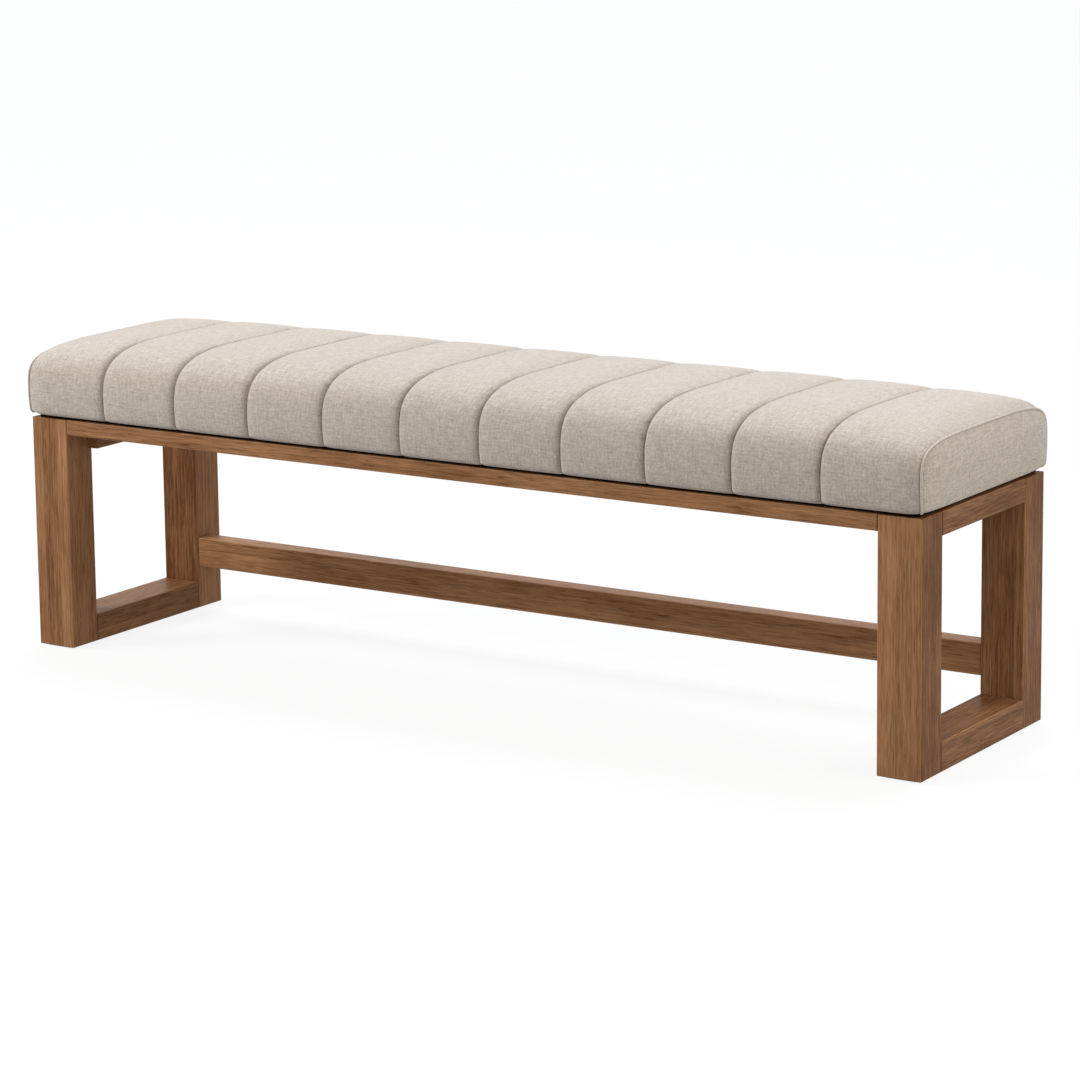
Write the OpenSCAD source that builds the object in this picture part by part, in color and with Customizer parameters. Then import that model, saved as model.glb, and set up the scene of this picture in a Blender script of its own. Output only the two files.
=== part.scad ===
// Upholstered banquette bench. Two box-shaped end frames are joined by long
// rails and a low rear stretcher. A channelled cushion on a plywood board
// stands on recessed black strips, which leave a shadow gap above the frame.
// +X runs along the bench, the front faces -Y and +Z is up. The origin is on
// the floor under the middle of the bench. All sizes are in millimetres.

/* [Frame] */
// Length of the frame over its posts
frame_l = 1500; // [1200:10:1800]
// Depth of the frame over its posts
frame_d = 365; // [340:5:420]
// Height of the frame's top face above the floor
frame_h = 354; // [320:2:400]
// Radius of the eased edges
edge_r = 2; // [1:0.5:4]

/* [Posts and end rails] */
// Width of a post along the bench
post_w = 66; // [56:1:80]
// Depth of a post
post_d = 58; // [50:1:66]
// Height of the rail between the feet of an end frame
foot_rail_h = 42; // [34:1:60]
// Height of the rail across the top of an end frame
end_rail_h = 33; // [28:1:40]

/* [Long rails] */
// Height of the front and back rails
long_rail_h = 23; // [20:1:30]
// Depth of the front and back rails
long_rail_d = 48; // [42:1:56]
// Height of the rear stretcher
stretcher_h = 46; // [36:1:60]
// Thickness of the rear stretcher
stretcher_t = 33; // [26:1:40]
// Height of the stretcher's underside above the floor
stretcher_z = 69; // [60:1:120]
// Setback of the stretcher from the faces of the back posts
stretcher_reveal = 2; // [1:0.5:6]

/* [Seat supports] */
// Height of the bearer inside each end rail
bearer_h = 50; // [40:1:56]
// Thickness of that bearer
bearer_t = 20; // [18:1:26]
// Width of a cross rail
cross_rail_w = 45; // [38:1:60]
// Leg of a triangular corner block
block_leg = 55; // [50:1:60]
// Height of a corner block
block_h = 22; // [20:1:23]

/* [Dowels and screws] */
// Radius of the wooden dowels
dowel_r = 4; // [3:0.5:4.5]
// Length of the wooden dowels
dowel_l = 32; // [24:1:34]
// Radius of a wood screw's shank
screw_r = 2; // [1.5:0.25:2.5]
// Radius of a wood screw's head
screw_head_r = 4; // [3.5:0.25:4.5]
// Length of a bearer's screw
bearer_screw_l = 44; // [36:1:50]
// Length of a corner block's screw
block_screw_l = 28; // [24:1:30]

/* [Seat fixing] */
// Radius of the seat bolts
bolt_r = 3; // [2.5:0.5:4]
// Length of a seat bolt under its head
bolt_l = 40; // [38:1:42]
// Distance of the seat bolts from the middle line
bolt_y = 90; // [70:1:100]
// Radius of the washers under the bolt heads
washer_r = 9; // [8:0.5:12]
// Thickness of those washers
washer_t = 1.6; // [1:0.2:2.4]
// Radius of a tee nut's barrel
nut_barrel_r = 4.2; // [4:0.1:5]
// Length of a tee nut's barrel
nut_barrel_l = 9; // [7:0.5:9.5]
// Radius of a tee nut's flange
nut_flange_r = 9; // [8:0.5:12]
// Thickness of a tee nut's flange
nut_flange_t = 1.2; // [1:0.1:1.6]

/* [Shadow gap] */
// Height of the gap between the frame and the cushion
gap_h = 5; // [4:0.5:8]
// Setback of the strips that stand in the gap
strip_inset = 9; // [8:0.5:10]
// Width of those strips
strip_w = 24; // [22:1:26]
// Radius of the spacer rings round the seat bolts
spacer_r = 12; // [10:0.5:16]

/* [Cushion] */
// Height of the cushion at its end seams
cushion_end_h = 92; // [84:1:110]
// Height of the cushion's widest line above its base
cushion_mid_h = 33; // [28:1:40]
// Rise of the top from the end seams to the middle
cushion_crown = 12; // [8:1:20]
// Overhang of the cushion past the frame at front and back
cushion_overhang = 4; // [3:0.5:8]
// Swell of the sides from the end seams to the middle
cushion_swell = 1; // [0:0.5:5]
// Puff of a channel above its seams
channel_puff = 8; // [3:0.5:10]
// Number of sewn channels
channels = 11; // [9:1:13]
// Extra width of the two end channels
end_channel_extra = 10; // [0:1:20]
// Drawing in of the sides towards the base
cushion_tuck = 2.5; // [1:0.5:5]
// Radius where the cover turns under the board
base_r = 7; // [5:0.5:9]
// Bulge of the end panels
panel_bulge = 5; // [3:0.5:9]
// Thickness of the cover at its seams
cover_t = 2.2; // [1.6:0.1:3]
// Radius of the welt round the end panels
welt_r = 1.8; // [1.4:0.1:2.4]
// Setback of the welts from the ends of the frame
welt_inset = 1; // [0:0.5:3]
// Width of the cover that is turned under the board
hem_w = 30; // [26:1:34]

/* [Seat core] */
// Thickness of the plywood seat board
board_t = 12; // [11:0.5:15]
// Thickness of the wadding wrapped round the foam
wadding_t = 6; // [4:0.5:9]
// Thickness of the black dust cover
dust_t = 0.7; // [0.5:0.1:1]
// Spacing of the staples in the cover
staple_pitch = 75; // [60:5:100]
// Length of a staple's crown
staple_l = 10; // [8:1:12]

/* [Floor pads] */
// Thickness of the felt pads under the posts
pad_t = 2; // [2:0.5:5]
// Setback of the pads from the edges of the posts
pad_inset = 7; // [5:1:12]

/* [Hidden] */
$fn = 32;

// Clearances and overruns
glue_gap = 0.05;
soft_gap = 0.3;
thread_gap = 0.05;
hole_gap = 0.3;
overrun = 1;
dowel_relief = 0.5;
dowel_chamfer = 0.8;

// Cross rails under the seat, one for each of their nodes
cross_rails = 4;

// Places worked out from the frame
post_h = frame_h - pad_t;
post_x = frame_l / 2 - post_w / 2;
post_y = frame_d / 2 - post_d / 2;
post_in_x = frame_l / 2 - post_w;
post_in_y = frame_d / 2 - post_d;
rail_in_y = frame_d / 2 - long_rail_d;
rail_y = frame_d / 2 - long_rail_d / 2;
rail_z = frame_h - long_rail_h / 2;
stretcher_y = post_in_y + stretcher_reveal + stretcher_t / 2;
stretcher_mid_z = stretcher_z + stretcher_h / 2;
end_rail_z = frame_h - end_rail_h / 2;
foot_rail_z = pad_t + foot_rail_h / 2;
bearer_in_x = post_in_x - bearer_t;
cross_pitch = 2 * bearer_in_x / cross_rails;
cross_xs = [for (i = [0 : cross_rails - 1]) (i - (cross_rails - 1) / 2) * cross_pitch];

// Dowel spacing within a joint, as shares of the piece that it joins
end_dowel_share = 0.21;
rail_dowel_share = 0.25;
stretcher_dowel_share = 0.26;
cross_dowel_share = 0.26;

// Screw places: bearer screws as shares of its length, block screws of its leg
bearer_screw_shares = [-0.22, 0, 0.22];
block_screw_share = 0.36;
block_seat_share = 0.25;
block_screw_lift_share = 0.25;
screw_head_h = 2.4;
screw_tip_h = 5;
screw_point_share = 0.2;
recess_w = 0.9;
recess_depth = 1.5;

// Bolt head and its hexagon recess
bolt_head_r = 5.5;
bolt_head_h = 3.3;
hex_r = 2.3;
hex_depth = 1.8;

// Levels in the seat, from the frame up
strip_top = frame_h + gap_h;
base_z = strip_top + dust_t;
hem_top = base_z + cover_t;
board_z = hem_top + soft_gap;
board_top = board_z + board_t;
mid_z = base_z + cushion_mid_h;
end_rise = cushion_end_h - cushion_mid_h;

// Cushion plan: seam line, end of the cover, face of the end panels
half_d = frame_d / 2 + cushion_overhang;
welt_x = frame_l / 2 - welt_inset;
cover_end_x = welt_x - welt_r - soft_gap;
panel_x = welt_x + welt_r + soft_gap;
core_end_x = panel_x - soft_gap;
core_inset = cover_t + soft_gap + wadding_t + soft_gap;
board_half_d = half_d - core_inset - cushion_tuck;
hem_in_y = half_d - cushion_tuck - base_r - hem_w + overrun;
dust_half_d = frame_d / 2 - strip_inset - strip_w / 3;
dust_half_l = frame_l / 2 - strip_inset - strip_w / 3;

// Cushion curves: how square the section is at the ends, at a seam and in mid channel
end_power = 4.5;
seam_power = 2.5;
middle_power = 3.6;
crown_power = 10;
puff_power = 3;
puff_root = 0.095;
end_puff_root = 0.45;
bulge_power = 2.4;
arch_steps = 14;
base_angles = [90, 60, 30, 0];
side_share = 0.5;
station_shares = [0, 0.07, 0.5, 0.93];
panel_ring_shares = [1, 0.95, 0.72, 0.36];
panel_rim_t = 1.4;
welt_sink = 0;
welt_sides = 8;

// Staple wire, legs and places
wire_t = 0.5;
wire_w = 1.2;
staple_leg = 8;
cover_staple_y = (frame_d / 2 - strip_inset + dust_half_d) / 2;
cover_staple_x = (frame_l / 2 - strip_inset + dust_half_l) / 2;
dust_staple_gap = 6;
dust_staple_y = frame_d / 2 - strip_inset - strip_w - dust_staple_gap;
dust_staple_x = frame_l / 2 - strip_inset - strip_w - dust_staple_gap;
dust_pitch = 4 / 3 * staple_pitch;
dust_gap_h = board_z - strip_top;

// Finishes
wood = [0.43, 0.28, 0.18];
pale_wood = [0.78, 0.66, 0.48];
linen = [0.74, 0.70, 0.64];
steel = [0.70, 0.71, 0.73];
black = [0.06, 0.06, 0.06];
felt = [0.22, 0.19, 0.17];
plywood = [0.80, 0.68, 0.50];
foam = [0.93, 0.88, 0.70];
wadding = [0.94, 0.94, 0.93];

// Shared shapes

// Copies a shape made in the right back quarter into the quarter that is named
module quarter(side, depth) {
    mirror([side < 0 ? 1 : 0, 0, 0])
        mirror([0, depth < 0 ? 1 : 0, 0])
            children();
}

// Flat rectangle with rounded corners
module round_rect(w, d, r) {
    square([w - 2 * r, d], center = true);
    square([w, d - 2 * r], center = true);
    for (sx = [-1, 1], sy = [-1, 1])
        translate([sx * (w / 2 - r), sy * (d / 2 - r)])
            circle(r = r);
}

// Bars centred on their middle, with the long edges eased
module bar_x(size, r) {
    rotate([90, 0, 90])
        linear_extrude(size.x, center = true)
            round_rect(size.y, size.z, r);
}

module bar_y(size, r) {
    rotate([90, 0, 0])
        linear_extrude(size.y, center = true)
            round_rect(size.x, size.z, r);
}

module bar_z(size, r) {
    linear_extrude(size.z, center = true)
        round_rect(size.x, size.y, r);
}

// Plain or bored dowel along Z, centred on the joint
module dowel(bored) {
    if (bored)
        cylinder(r = dowel_r + glue_gap, h = dowel_l + 2 * dowel_relief, center = true);
    else {
        cylinder(r = dowel_r, h = dowel_l - 2 * dowel_chamfer, center = true);
        for (end = [-1, 1])
            translate([0, 0, end * (dowel_l - dowel_chamfer) / 2])
                mirror([0, 0, end < 0 ? 1 : 0])
                    cylinder(r1 = dowel_r, r2 = dowel_r - dowel_chamfer, h = dowel_chamfer, center = true);
    }
}

// Two dowels in each joint of the right back quarter
module foot_joint(bored) {
    for (k = [-1, 1])
        translate([post_x + k * end_dowel_share * post_w, post_in_y, foot_rail_z])
            rotate([90, 0, 0]) dowel(bored);
}

module end_joint(bored) {
    for (k = [-1, 1])
        translate([post_x + k * end_dowel_share * post_w, post_in_y, end_rail_z])
            rotate([90, 0, 0]) dowel(bored);
}

module rail_joint(bored) {
    for (k = [-1, 1])
        translate([post_in_x, rail_y + k * rail_dowel_share * long_rail_d, rail_z])
            rotate([0, 90, 0]) dowel(bored);
}

module stretcher_joint(bored) {
    for (k = [-1, 1])
        translate([post_in_x, stretcher_y, stretcher_mid_z + k * stretcher_dowel_share * stretcher_h])
            rotate([0, 90, 0]) dowel(bored);
}

module cross_joint(x, bored) {
    for (k = [-1, 1])
        translate([x + k * cross_dowel_share * cross_rail_w, rail_in_y, rail_z])
            rotate([90, 0, 0]) dowel(bored);
}

// Wood screw along +Z with its head's face at the origin
module wood_screw(length) {
    difference() {
        union() {
            cylinder(r1 = screw_head_r, r2 = screw_r, h = screw_head_h);
            translate([0, 0, screw_head_h])
                cylinder(r = screw_r, h = length - screw_head_h - screw_tip_h);
            translate([0, 0, length - screw_tip_h])
                cylinder(r1 = screw_r, r2 = screw_point_share * screw_r, h = screw_tip_h);
        }
        for (turn = [0, 90])
            rotate([0, 0, turn])
                translate([-screw_r, -recess_w / 2, -overrun])
                    cube([2 * screw_r, recess_w, recess_depth + overrun]);
    }
}

// Hole for that screw, open for some way before the head
module screw_hole(length, mouth) {
    translate([0, 0, -mouth])
        cylinder(r = screw_head_r + hole_gap, h = mouth);
    cylinder(r1 = screw_head_r + hole_gap, r2 = screw_r + glue_gap, h = screw_head_h + hole_gap);
    cylinder(r = screw_r + glue_gap, h = length + hole_gap);
}

// Places of the screws in the right back quarter or the right bearer
module bearer_screw_places() {
    for (share = bearer_screw_shares)
        translate([bearer_in_x, share * 2 * rail_in_y, end_rail_z])
            rotate([0, 90, 0]) children();
}

module block_screw_places() {
    seat = block_seat_share * block_leg;
    off = block_screw_share * block_leg;
    lift = block_screw_lift_share * block_h;
    translate([bearer_in_x - off, rail_in_y - seat, rail_z + lift])
        rotate([-90, 0, 0]) children();
    translate([bearer_in_x - seat, rail_in_y - off, rail_z - lift])
        rotate([0, 90, 0]) children();
}

// Places of the seat bolts, at the underside of the cross rails
module bolt_places() {
    for (x = cross_xs, side = [-1, 1])
        translate([x, side * bolt_y, frame_h - long_rail_h])
            children();
}

// End frames

module post_solid(back) {
    size = [post_w, post_d, post_h];
    color(wood)
        difference() {
            translate([post_x, post_y, pad_t + post_h / 2])
                intersection() {
                    bar_z(size, edge_r);
                    bar_x(size, edge_r);
                    bar_y(size, edge_r);
                }
            foot_joint(true);
            end_joint(true);
            rail_joint(true);
            if (back) stretcher_joint(true);
        }
}

module front_left_post() { quarter(-1, -1) post_solid(false); }

module front_right_post() { quarter(1, -1) post_solid(false); }

module back_left_post() { quarter(-1, 1) post_solid(true); }

module back_right_post() { quarter(1, 1) post_solid(true); }

module foot_rail() {
    color(wood)
        difference() {
            translate([post_x, 0, foot_rail_z])
                bar_y([post_w, 2 * post_in_y, foot_rail_h], edge_r);
            for (depth = [-1, 1]) quarter(1, depth) foot_joint(true);
        }
}

module left_foot_rail() { quarter(-1, 1) foot_rail(); }

module right_foot_rail() { foot_rail(); }

module end_rail() {
    color(wood)
        difference() {
            translate([post_x, 0, end_rail_z])
                bar_y([post_w, 2 * post_in_y, end_rail_h], edge_r);
            for (depth = [-1, 1]) quarter(1, depth) end_joint(true);
            bearer_screw_places() screw_hole(bearer_screw_l, overrun);
        }
}

module left_end_rail() { quarter(-1, 1) end_rail(); }

module right_end_rail() { end_rail(); }

// Long rails and stretcher

module long_rail() {
    color(wood)
        difference() {
            translate([0, rail_y, rail_z])
                bar_x([2 * post_in_x, long_rail_d, long_rail_h], edge_r);
            for (side = [-1, 1]) quarter(side, 1) {
                rail_joint(true);
                block_screw_places() screw_hole(block_screw_l, overrun);
            }
            for (x = cross_xs) cross_joint(x, true);
        }
}

module front_rail() { quarter(1, -1) long_rail(); }

module back_rail() { long_rail(); }

module rear_stretcher() {
    color(wood)
        difference() {
            translate([0, stretcher_y, stretcher_mid_z])
                bar_x([2 * post_in_x, stretcher_t, stretcher_h], edge_r);
            for (side = [-1, 1]) quarter(side, 1) stretcher_joint(true);
        }
}

// Seat supports

module seat_bearer() {
    color(wood)
        difference() {
            translate([post_in_x - bearer_t / 2, 0, frame_h - bearer_h / 2])
                bar_y([bearer_t, 2 * rail_in_y, bearer_h], edge_r);
            bearer_screw_places() screw_hole(bearer_screw_l, overrun);
            for (depth = [-1, 1]) quarter(1, depth)
                block_screw_places() screw_hole(block_screw_l, overrun);
        }
}

module left_seat_bearer() { quarter(-1, 1) seat_bearer(); }

module right_seat_bearer() { seat_bearer(); }

module cross_rail(i) {
    color(wood)
        difference() {
            translate([cross_xs[i], 0, rail_z])
                bar_y([cross_rail_w, 2 * rail_in_y, long_rail_h], edge_r);
            for (depth = [-1, 1]) quarter(1, depth) cross_joint(cross_xs[i], true);
            bolt_places()
                translate([0, 0, -overrun])
                    cylinder(r = bolt_r + hole_gap, h = long_rail_h + 2 * overrun);
        }
}

module left_cross_rail() { cross_rail(0); }

module inner_left_cross_rail() { cross_rail(1); }

module inner_right_cross_rail() { cross_rail(cross_rails - 2); }

module right_cross_rail() { cross_rail(cross_rails - 1); }

module corner_block() {
    color(pale_wood)
        difference() {
            translate([bearer_in_x, rail_in_y, rail_z - block_h / 2])
                linear_extrude(block_h)
                    polygon([[0, 0], [-block_leg, 0], [0, -block_leg]]);
            block_screw_places() screw_hole(block_screw_l, block_leg);
        }
}

module front_left_corner_block() { quarter(-1, -1) corner_block(); }

module front_right_corner_block() { quarter(1, -1) corner_block(); }

module back_left_corner_block() { quarter(-1, 1) corner_block(); }

module back_right_corner_block() { quarter(1, 1) corner_block(); }

// Dowels and screws

module end_frame_dowels() {
    color(pale_wood)
        for (side = [-1, 1], depth = [-1, 1]) quarter(side, depth) {
            foot_joint(false);
            end_joint(false);
        }
}

module long_rail_dowels() {
    color(pale_wood)
        for (side = [-1, 1], depth = [-1, 1]) quarter(side, depth) rail_joint(false);
}

module stretcher_dowels() {
    color(pale_wood)
        for (side = [-1, 1]) quarter(side, 1) stretcher_joint(false);
}

module cross_rail_dowels() {
    color(pale_wood)
        for (x = cross_xs, depth = [-1, 1]) quarter(1, depth) cross_joint(x, false);
}

module bearer_screws() {
    color(steel)
        for (side = [-1, 1]) quarter(side, 1)
            bearer_screw_places() wood_screw(bearer_screw_l);
}

module corner_block_screws() {
    color(steel)
        for (side = [-1, 1], depth = [-1, 1]) quarter(side, depth)
            block_screw_places() wood_screw(block_screw_l);
}

// Floor pads

module floor_pad() {
    color(felt)
        translate([post_x, post_y, pad_t / 2])
            bar_z([post_w - 2 * pad_inset, post_d - 2 * pad_inset, pad_t], pad_inset);
}

module front_left_floor_pad() { quarter(-1, -1) floor_pad(); }

module front_right_floor_pad() { quarter(1, -1) floor_pad(); }

module back_left_floor_pad() { quarter(-1, 1) floor_pad(); }

module back_right_floor_pad() { quarter(1, 1) floor_pad(); }

// Shadow gap

module long_strip() {
    length = frame_l - 2 * strip_inset;
    color(black)
        translate([-length / 2, frame_d / 2 - strip_inset - strip_w, frame_h])
            cube([length, strip_w, gap_h]);
}

module end_strip() {
    length = frame_d - 2 * (strip_inset + strip_w + soft_gap);
    color(black)
        translate([frame_l / 2 - strip_inset - strip_w, -length / 2, frame_h])
            cube([strip_w, length, gap_h]);
}

module front_spacer_strip() { quarter(1, -1) long_strip(); }

module back_spacer_strip() { long_strip(); }

module left_spacer_strip() { quarter(-1, 1) end_strip(); }

module right_spacer_strip() { end_strip(); }

module bolt_spacers() {
    color(black)
        bolt_places()
            translate([0, 0, long_rail_h])
                difference() {
                    cylinder(r = spacer_r, h = gap_h);
                    translate([0, 0, -overrun])
                        cylinder(r = bolt_r + hole_gap, h = gap_h + 2 * overrun);
                }
}

// Seat bolts, washers and tee nuts

module seat_bolts() {
    color(steel)
        bolt_places()
            translate([0, 0, -washer_t])
                difference() {
                    union() {
                        cylinder(r = bolt_r, h = bolt_l);
                        translate([0, 0, -bolt_head_h]) cylinder(r = bolt_head_r, h = bolt_head_h);
                    }
                    translate([0, 0, -bolt_head_h - overrun])
                        cylinder(r = hex_r, h = hex_depth + overrun, $fn = 6);
                }
}

module bolt_washers() {
    color(steel)
        bolt_places()
            translate([0, 0, -washer_t])
                difference() {
                    cylinder(r = washer_r, h = washer_t);
                    translate([0, 0, -overrun])
                        cylinder(r = bolt_r + hole_gap, h = washer_t + 2 * overrun);
                }
}

module tee_nuts() {
    color(steel)
        bolt_places()
            translate([0, 0, board_top - frame_h + long_rail_h])
                difference() {
                    union() {
                        translate([0, 0, -nut_flange_t]) cylinder(r = nut_flange_r, h = nut_flange_t);
                        translate([0, 0, -nut_barrel_l]) cylinder(r = nut_barrel_r, h = nut_barrel_l);
                    }
                    translate([0, 0, -nut_barrel_l - overrun])
                        cylinder(r = bolt_r + thread_gap, h = nut_barrel_l + 2 * overrun);
                }
}

// Staples

// Staple with its crown along X and its legs up, the crown's top at the origin
module staple(leg, gap) {
    leg_x = staple_l / 2 - wire_t / 2;
    translate([-staple_l / 2 - gap, -wire_w / 2 - gap, -wire_t])
        cube([staple_l + 2 * gap, wire_w + 2 * gap, wire_t]);
    for (side = [-1, 1])
        translate([side * leg_x - wire_t / 2 - gap, -wire_w / 2 - gap, -wire_t])
            cube([wire_t + 2 * gap, wire_w + 2 * gap, wire_t + leg + gap]);
}

// Places along the front and back edges, then along the ends
module staple_places(x_end, y_edge, pitch) {
    along = floor(x_end / pitch);
    across = floor(y_edge / pitch);
    for (i = [-along : along], side = [-1, 1])
        if (abs(i * pitch) < x_end - pitch / 2)
            translate([i * pitch, side * y_edge, 0]) children();
    for (i = [-across : across], side = [-1, 1])
        if (abs(i * pitch) < y_edge - pitch / 2)
            translate([side * x_end, i * pitch, 0]) rotate([0, 0, 90]) children();
}

module cover_staple_places() {
    translate([0, 0, base_z])
        staple_places(cover_staple_x, cover_staple_y, staple_pitch) children();
}

module dust_staple_places() {
    translate([0, 0, strip_top])
        staple_places(dust_staple_x, dust_staple_y, dust_pitch) children();
}

module cover_staples() {
    color(steel) cover_staple_places() staple(staple_leg, 0);
}

module dust_cover_staples() {
    color(steel) dust_staple_places() staple(staple_leg + dust_gap_h, 0);
}

// Cushion

// Side of the cushion below its widest line: from the turned-under edge up
function lower_points(a, puff, inset) = concat(
    [for (angle = base_angles)
        [a - cushion_tuck - base_r + (base_r - inset + puff) * cos(angle),
         base_z + base_r - (base_r - inset) * sin(angle)]],
    [[a - inset + puff - cushion_tuck * pow(side_share, 2),
      mid_z - side_share * (cushion_mid_h - base_r)]]);

// Arch above the widest line, from the back over the top to the front
function upper_points(a, rise, power) = [
    for (i = [0 : arch_steps])
        let (angle = 180 * i / arch_steps, c = cos(angle), s = sin(angle))
        [a * sign(c) * pow(abs(c), 2 / power), mid_z + rise * pow(abs(s), 2 / power)]];

// Whole open outline of the cushion at one place, from the back to the front
function outline(a, rise, power, puff, inset) =
    let (low = lower_points(a, puff, inset), last = len(low) - 1)
    concat(low,
        upper_points(a + puff - inset, rise + puff - inset, power),
        [for (i = [last : -1 : 0]) [-low[i][0], low[i][1]]]);

// Plain outline for the core: straight down from the widest line to a level
function core_outline(inset, bottom) = concat(
    [[half_d - inset - cushion_tuck, bottom]],
    upper_points(half_d - inset, end_rise - inset, seam_power),
    [[inset + cushion_tuck - half_d, bottom]]);

// Seams between the channels and the stations along the cover
channel_pitch = 2 * (cover_end_x - end_channel_extra) / channels;
last_seam_x = cover_end_x - end_channel_extra - channel_pitch;
function seam_x(i) =
    i == 0 ? -cover_end_x : i == channels ? cover_end_x : (i - channels / 2) * channel_pitch;
stations = concat(
    [for (i = [0 : channels - 1], share = station_shares)
        [seam_x(i) + share * (seam_x(i + 1) - seam_x(i)), share]],
    [[cover_end_x, 0]]);

// Shape of the cover at one station
function puff_at(x, share) =
    let (root = abs(x) > (last_seam_x + cover_end_x) / 2 ? end_puff_root : puff_root)
    channel_puff * pow(1 - pow(abs(2 * share - 1), puff_power), root);
function fullness_at(x, power) = 1 - pow(abs(x) / cover_end_x, power);
function end_share_at(x) = max(0, (abs(x) - last_seam_x) / (cover_end_x - last_seam_x));
function power_at(x, share) =
    let (own = seam_power + (middle_power - seam_power) * puff_at(x, share) / channel_puff)
    own + (end_power - own) * pow(end_share_at(x), 2);
function cover_ring(x, share) = outline(
    half_d + cushion_swell * fullness_at(x, 2),
    end_rise + cushion_crown * fullness_at(x, crown_power),
    power_at(x, share), puff_at(x, share), 0);

// Two triangles between neighbouring points of two rows
function quad(a, b, c, d) = [[a, b, c], [a, c, d]];

// Quilted cover: a crowned outer face with a puff in each channel, and a plain inner face
module cover_arch() {
    rings = [for (s = stations) [for (p = cover_ring(s[0], s[1])) [s[0], p[0], p[1]]]];
    inner = outline(half_d, end_rise, seam_power, 0, cover_t);
    n = len(inner);
    m = len(stations);
    outer_points = [for (ring = rings, p = ring) p];
    inner_points = [for (end = [-1, 1], p = inner) [end * cover_end_x, p[0], p[1]]];
    a0 = m * n;
    b0 = a0 + n;
    last = (m - 1) * n;
    outer_faces = [for (j = [0 : m - 2], i = [0 : n - 2])
        each quad(j * n + i, (j + 1) * n + i, (j + 1) * n + i + 1, j * n + i + 1)];
    inner_faces = [for (i = [0 : n - 2]) each quad(a0 + i, a0 + i + 1, b0 + i + 1, b0 + i)];
    left_rim = [for (i = [0 : n - 2]) each quad(i, i + 1, a0 + i + 1, a0 + i)];
    right_rim = [for (i = [0 : n - 2]) each quad(last + i + 1, last + i, b0 + i, b0 + i + 1)];
    back_edge = concat([for (j = [0 : m - 2]) [a0, (j + 1) * n, j * n]], [[a0, b0, last]]);
    front_edge = concat(
        [for (j = [0 : m - 2]) [a0 + n - 1, j * n + n - 1, (j + 1) * n + n - 1]],
        [[a0 + n - 1, last + n - 1, b0 + n - 1]]);
    polyhedron(concat(outer_points, inner_points),
        concat(outer_faces, inner_faces, left_rim, right_rim, back_edge, front_edge));
}

// Margin of the cover that is turned under the board, along the back
module long_hem() {
    hem_out_y = half_d - cushion_tuck - base_r + overrun;
    translate([-cover_end_x, hem_in_y, base_z])
        cube([2 * cover_end_x, hem_out_y - hem_in_y, cover_t]);
}

module channelled_cover() {
    color(linen)
        union() {
            cover_arch();
            difference() {
                for (depth = [-1, 1]) quarter(1, depth) long_hem();
                cover_staple_places() staple(staple_leg, glue_gap);
            }
        }
}

// Bulged panel that closes an end of the cushion
module panel_shell() {
    rim = outline(half_d, end_rise, end_power, 0, 0);
    n = len(rim);
    centre_z = mid_z + (end_rise - cushion_mid_h) / 2;
    rings = [for (share = panel_ring_shares)
        [for (p = rim)
            [panel_x + panel_rim_t + panel_bulge * (1 - pow(share, bulge_power)),
             share * p[0], centre_z + share * (p[1] - centre_z)]]];
    back = [for (p = rim) [panel_x, p[0], p[1]]];
    k = len(rings);
    hub = (k + 1) * n;
    points = concat(back, [for (ring = rings, p = ring) p],
        [[panel_x + panel_rim_t + panel_bulge, 0, centre_z], [panel_x, 0, centre_z]]);
    bands = [for (j = [0 : k - 1], i = [0 : n - 1])
        each quad(j * n + i, (j + 1) * n + i, (j + 1) * n + (i + 1) % n, j * n + (i + 1) % n)];
    front = [for (i = [0 : n - 1]) [k * n + (i + 1) % n, k * n + i, hub]];
    rear = [for (i = [0 : n - 1]) [i, (i + 1) % n, hub + 1]];
    polyhedron(points, concat(bands, front, rear));
}

module end_panel() {
    hem_l = 2 * (hem_in_y - overrun);
    color(linen)
        union() {
            panel_shell();
            difference() {
                translate([panel_x - hem_w, -hem_l / 2, base_z])
                    cube([hem_w + panel_rim_t / 2, hem_l, cover_t]);
                cover_staple_places() staple(staple_leg, glue_gap);
            }
        }
}

module left_end_panel() { quarter(-1, 1) end_panel(); }

module right_end_panel() { end_panel(); }

// Thin corded welt in the seam between the cover and an end panel
module end_welt() {
    rim = outline(half_d, end_rise, end_power, 0, welt_sink);
    path = [for (i = [1 : len(rim) - 2]) rim[i]];
    last = len(path) - 1;
    function along(i) = path[min(i + 1, last)] - path[max(i - 1, 0)];
    points = [for (i = [0 : last], k = [0 : welt_sides - 1])
        let (t = along(i) / norm(along(i)), turn = 360 * k / welt_sides)
        [welt_x + welt_r * sin(turn),
         path[i][0] + welt_r * cos(turn) * t[1],
         path[i][1] - welt_r * cos(turn) * t[0]]];
    skin = [for (i = [0 : last - 1], k = [0 : welt_sides - 1])
        let (next = (k + 1) % welt_sides, a = i * welt_sides, b = (i + 1) * welt_sides)
        each quad(a + k, a + next, b + next, b + k)];
    caps = [for (k = [1 : welt_sides - 2])
        each [[0, k + 1, k], [last * welt_sides, last * welt_sides + k, last * welt_sides + k + 1]]];
    color(linen) polyhedron(points, concat(skin, caps));
}

module left_end_welt() { quarter(-1, 1) end_welt(); }

module right_end_welt() { end_welt(); }

// Core of the seat

module core_prism(inset, bottom, length) {
    rotate([90, 0, 90])
        linear_extrude(length, center = true)
            polygon(core_outline(inset, bottom));
}

module foam_core() {
    color(foam)
        core_prism(core_inset, board_top, 2 * core_end_x);
}

module wadding_wrap() {
    color(wadding)
        difference() {
            core_prism(cover_t + soft_gap, base_z + base_r, 2 * core_end_x);
            core_prism(cover_t + soft_gap + wadding_t, base_z + base_r - overrun, 2 * (core_end_x + overrun));
        }
}

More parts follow.
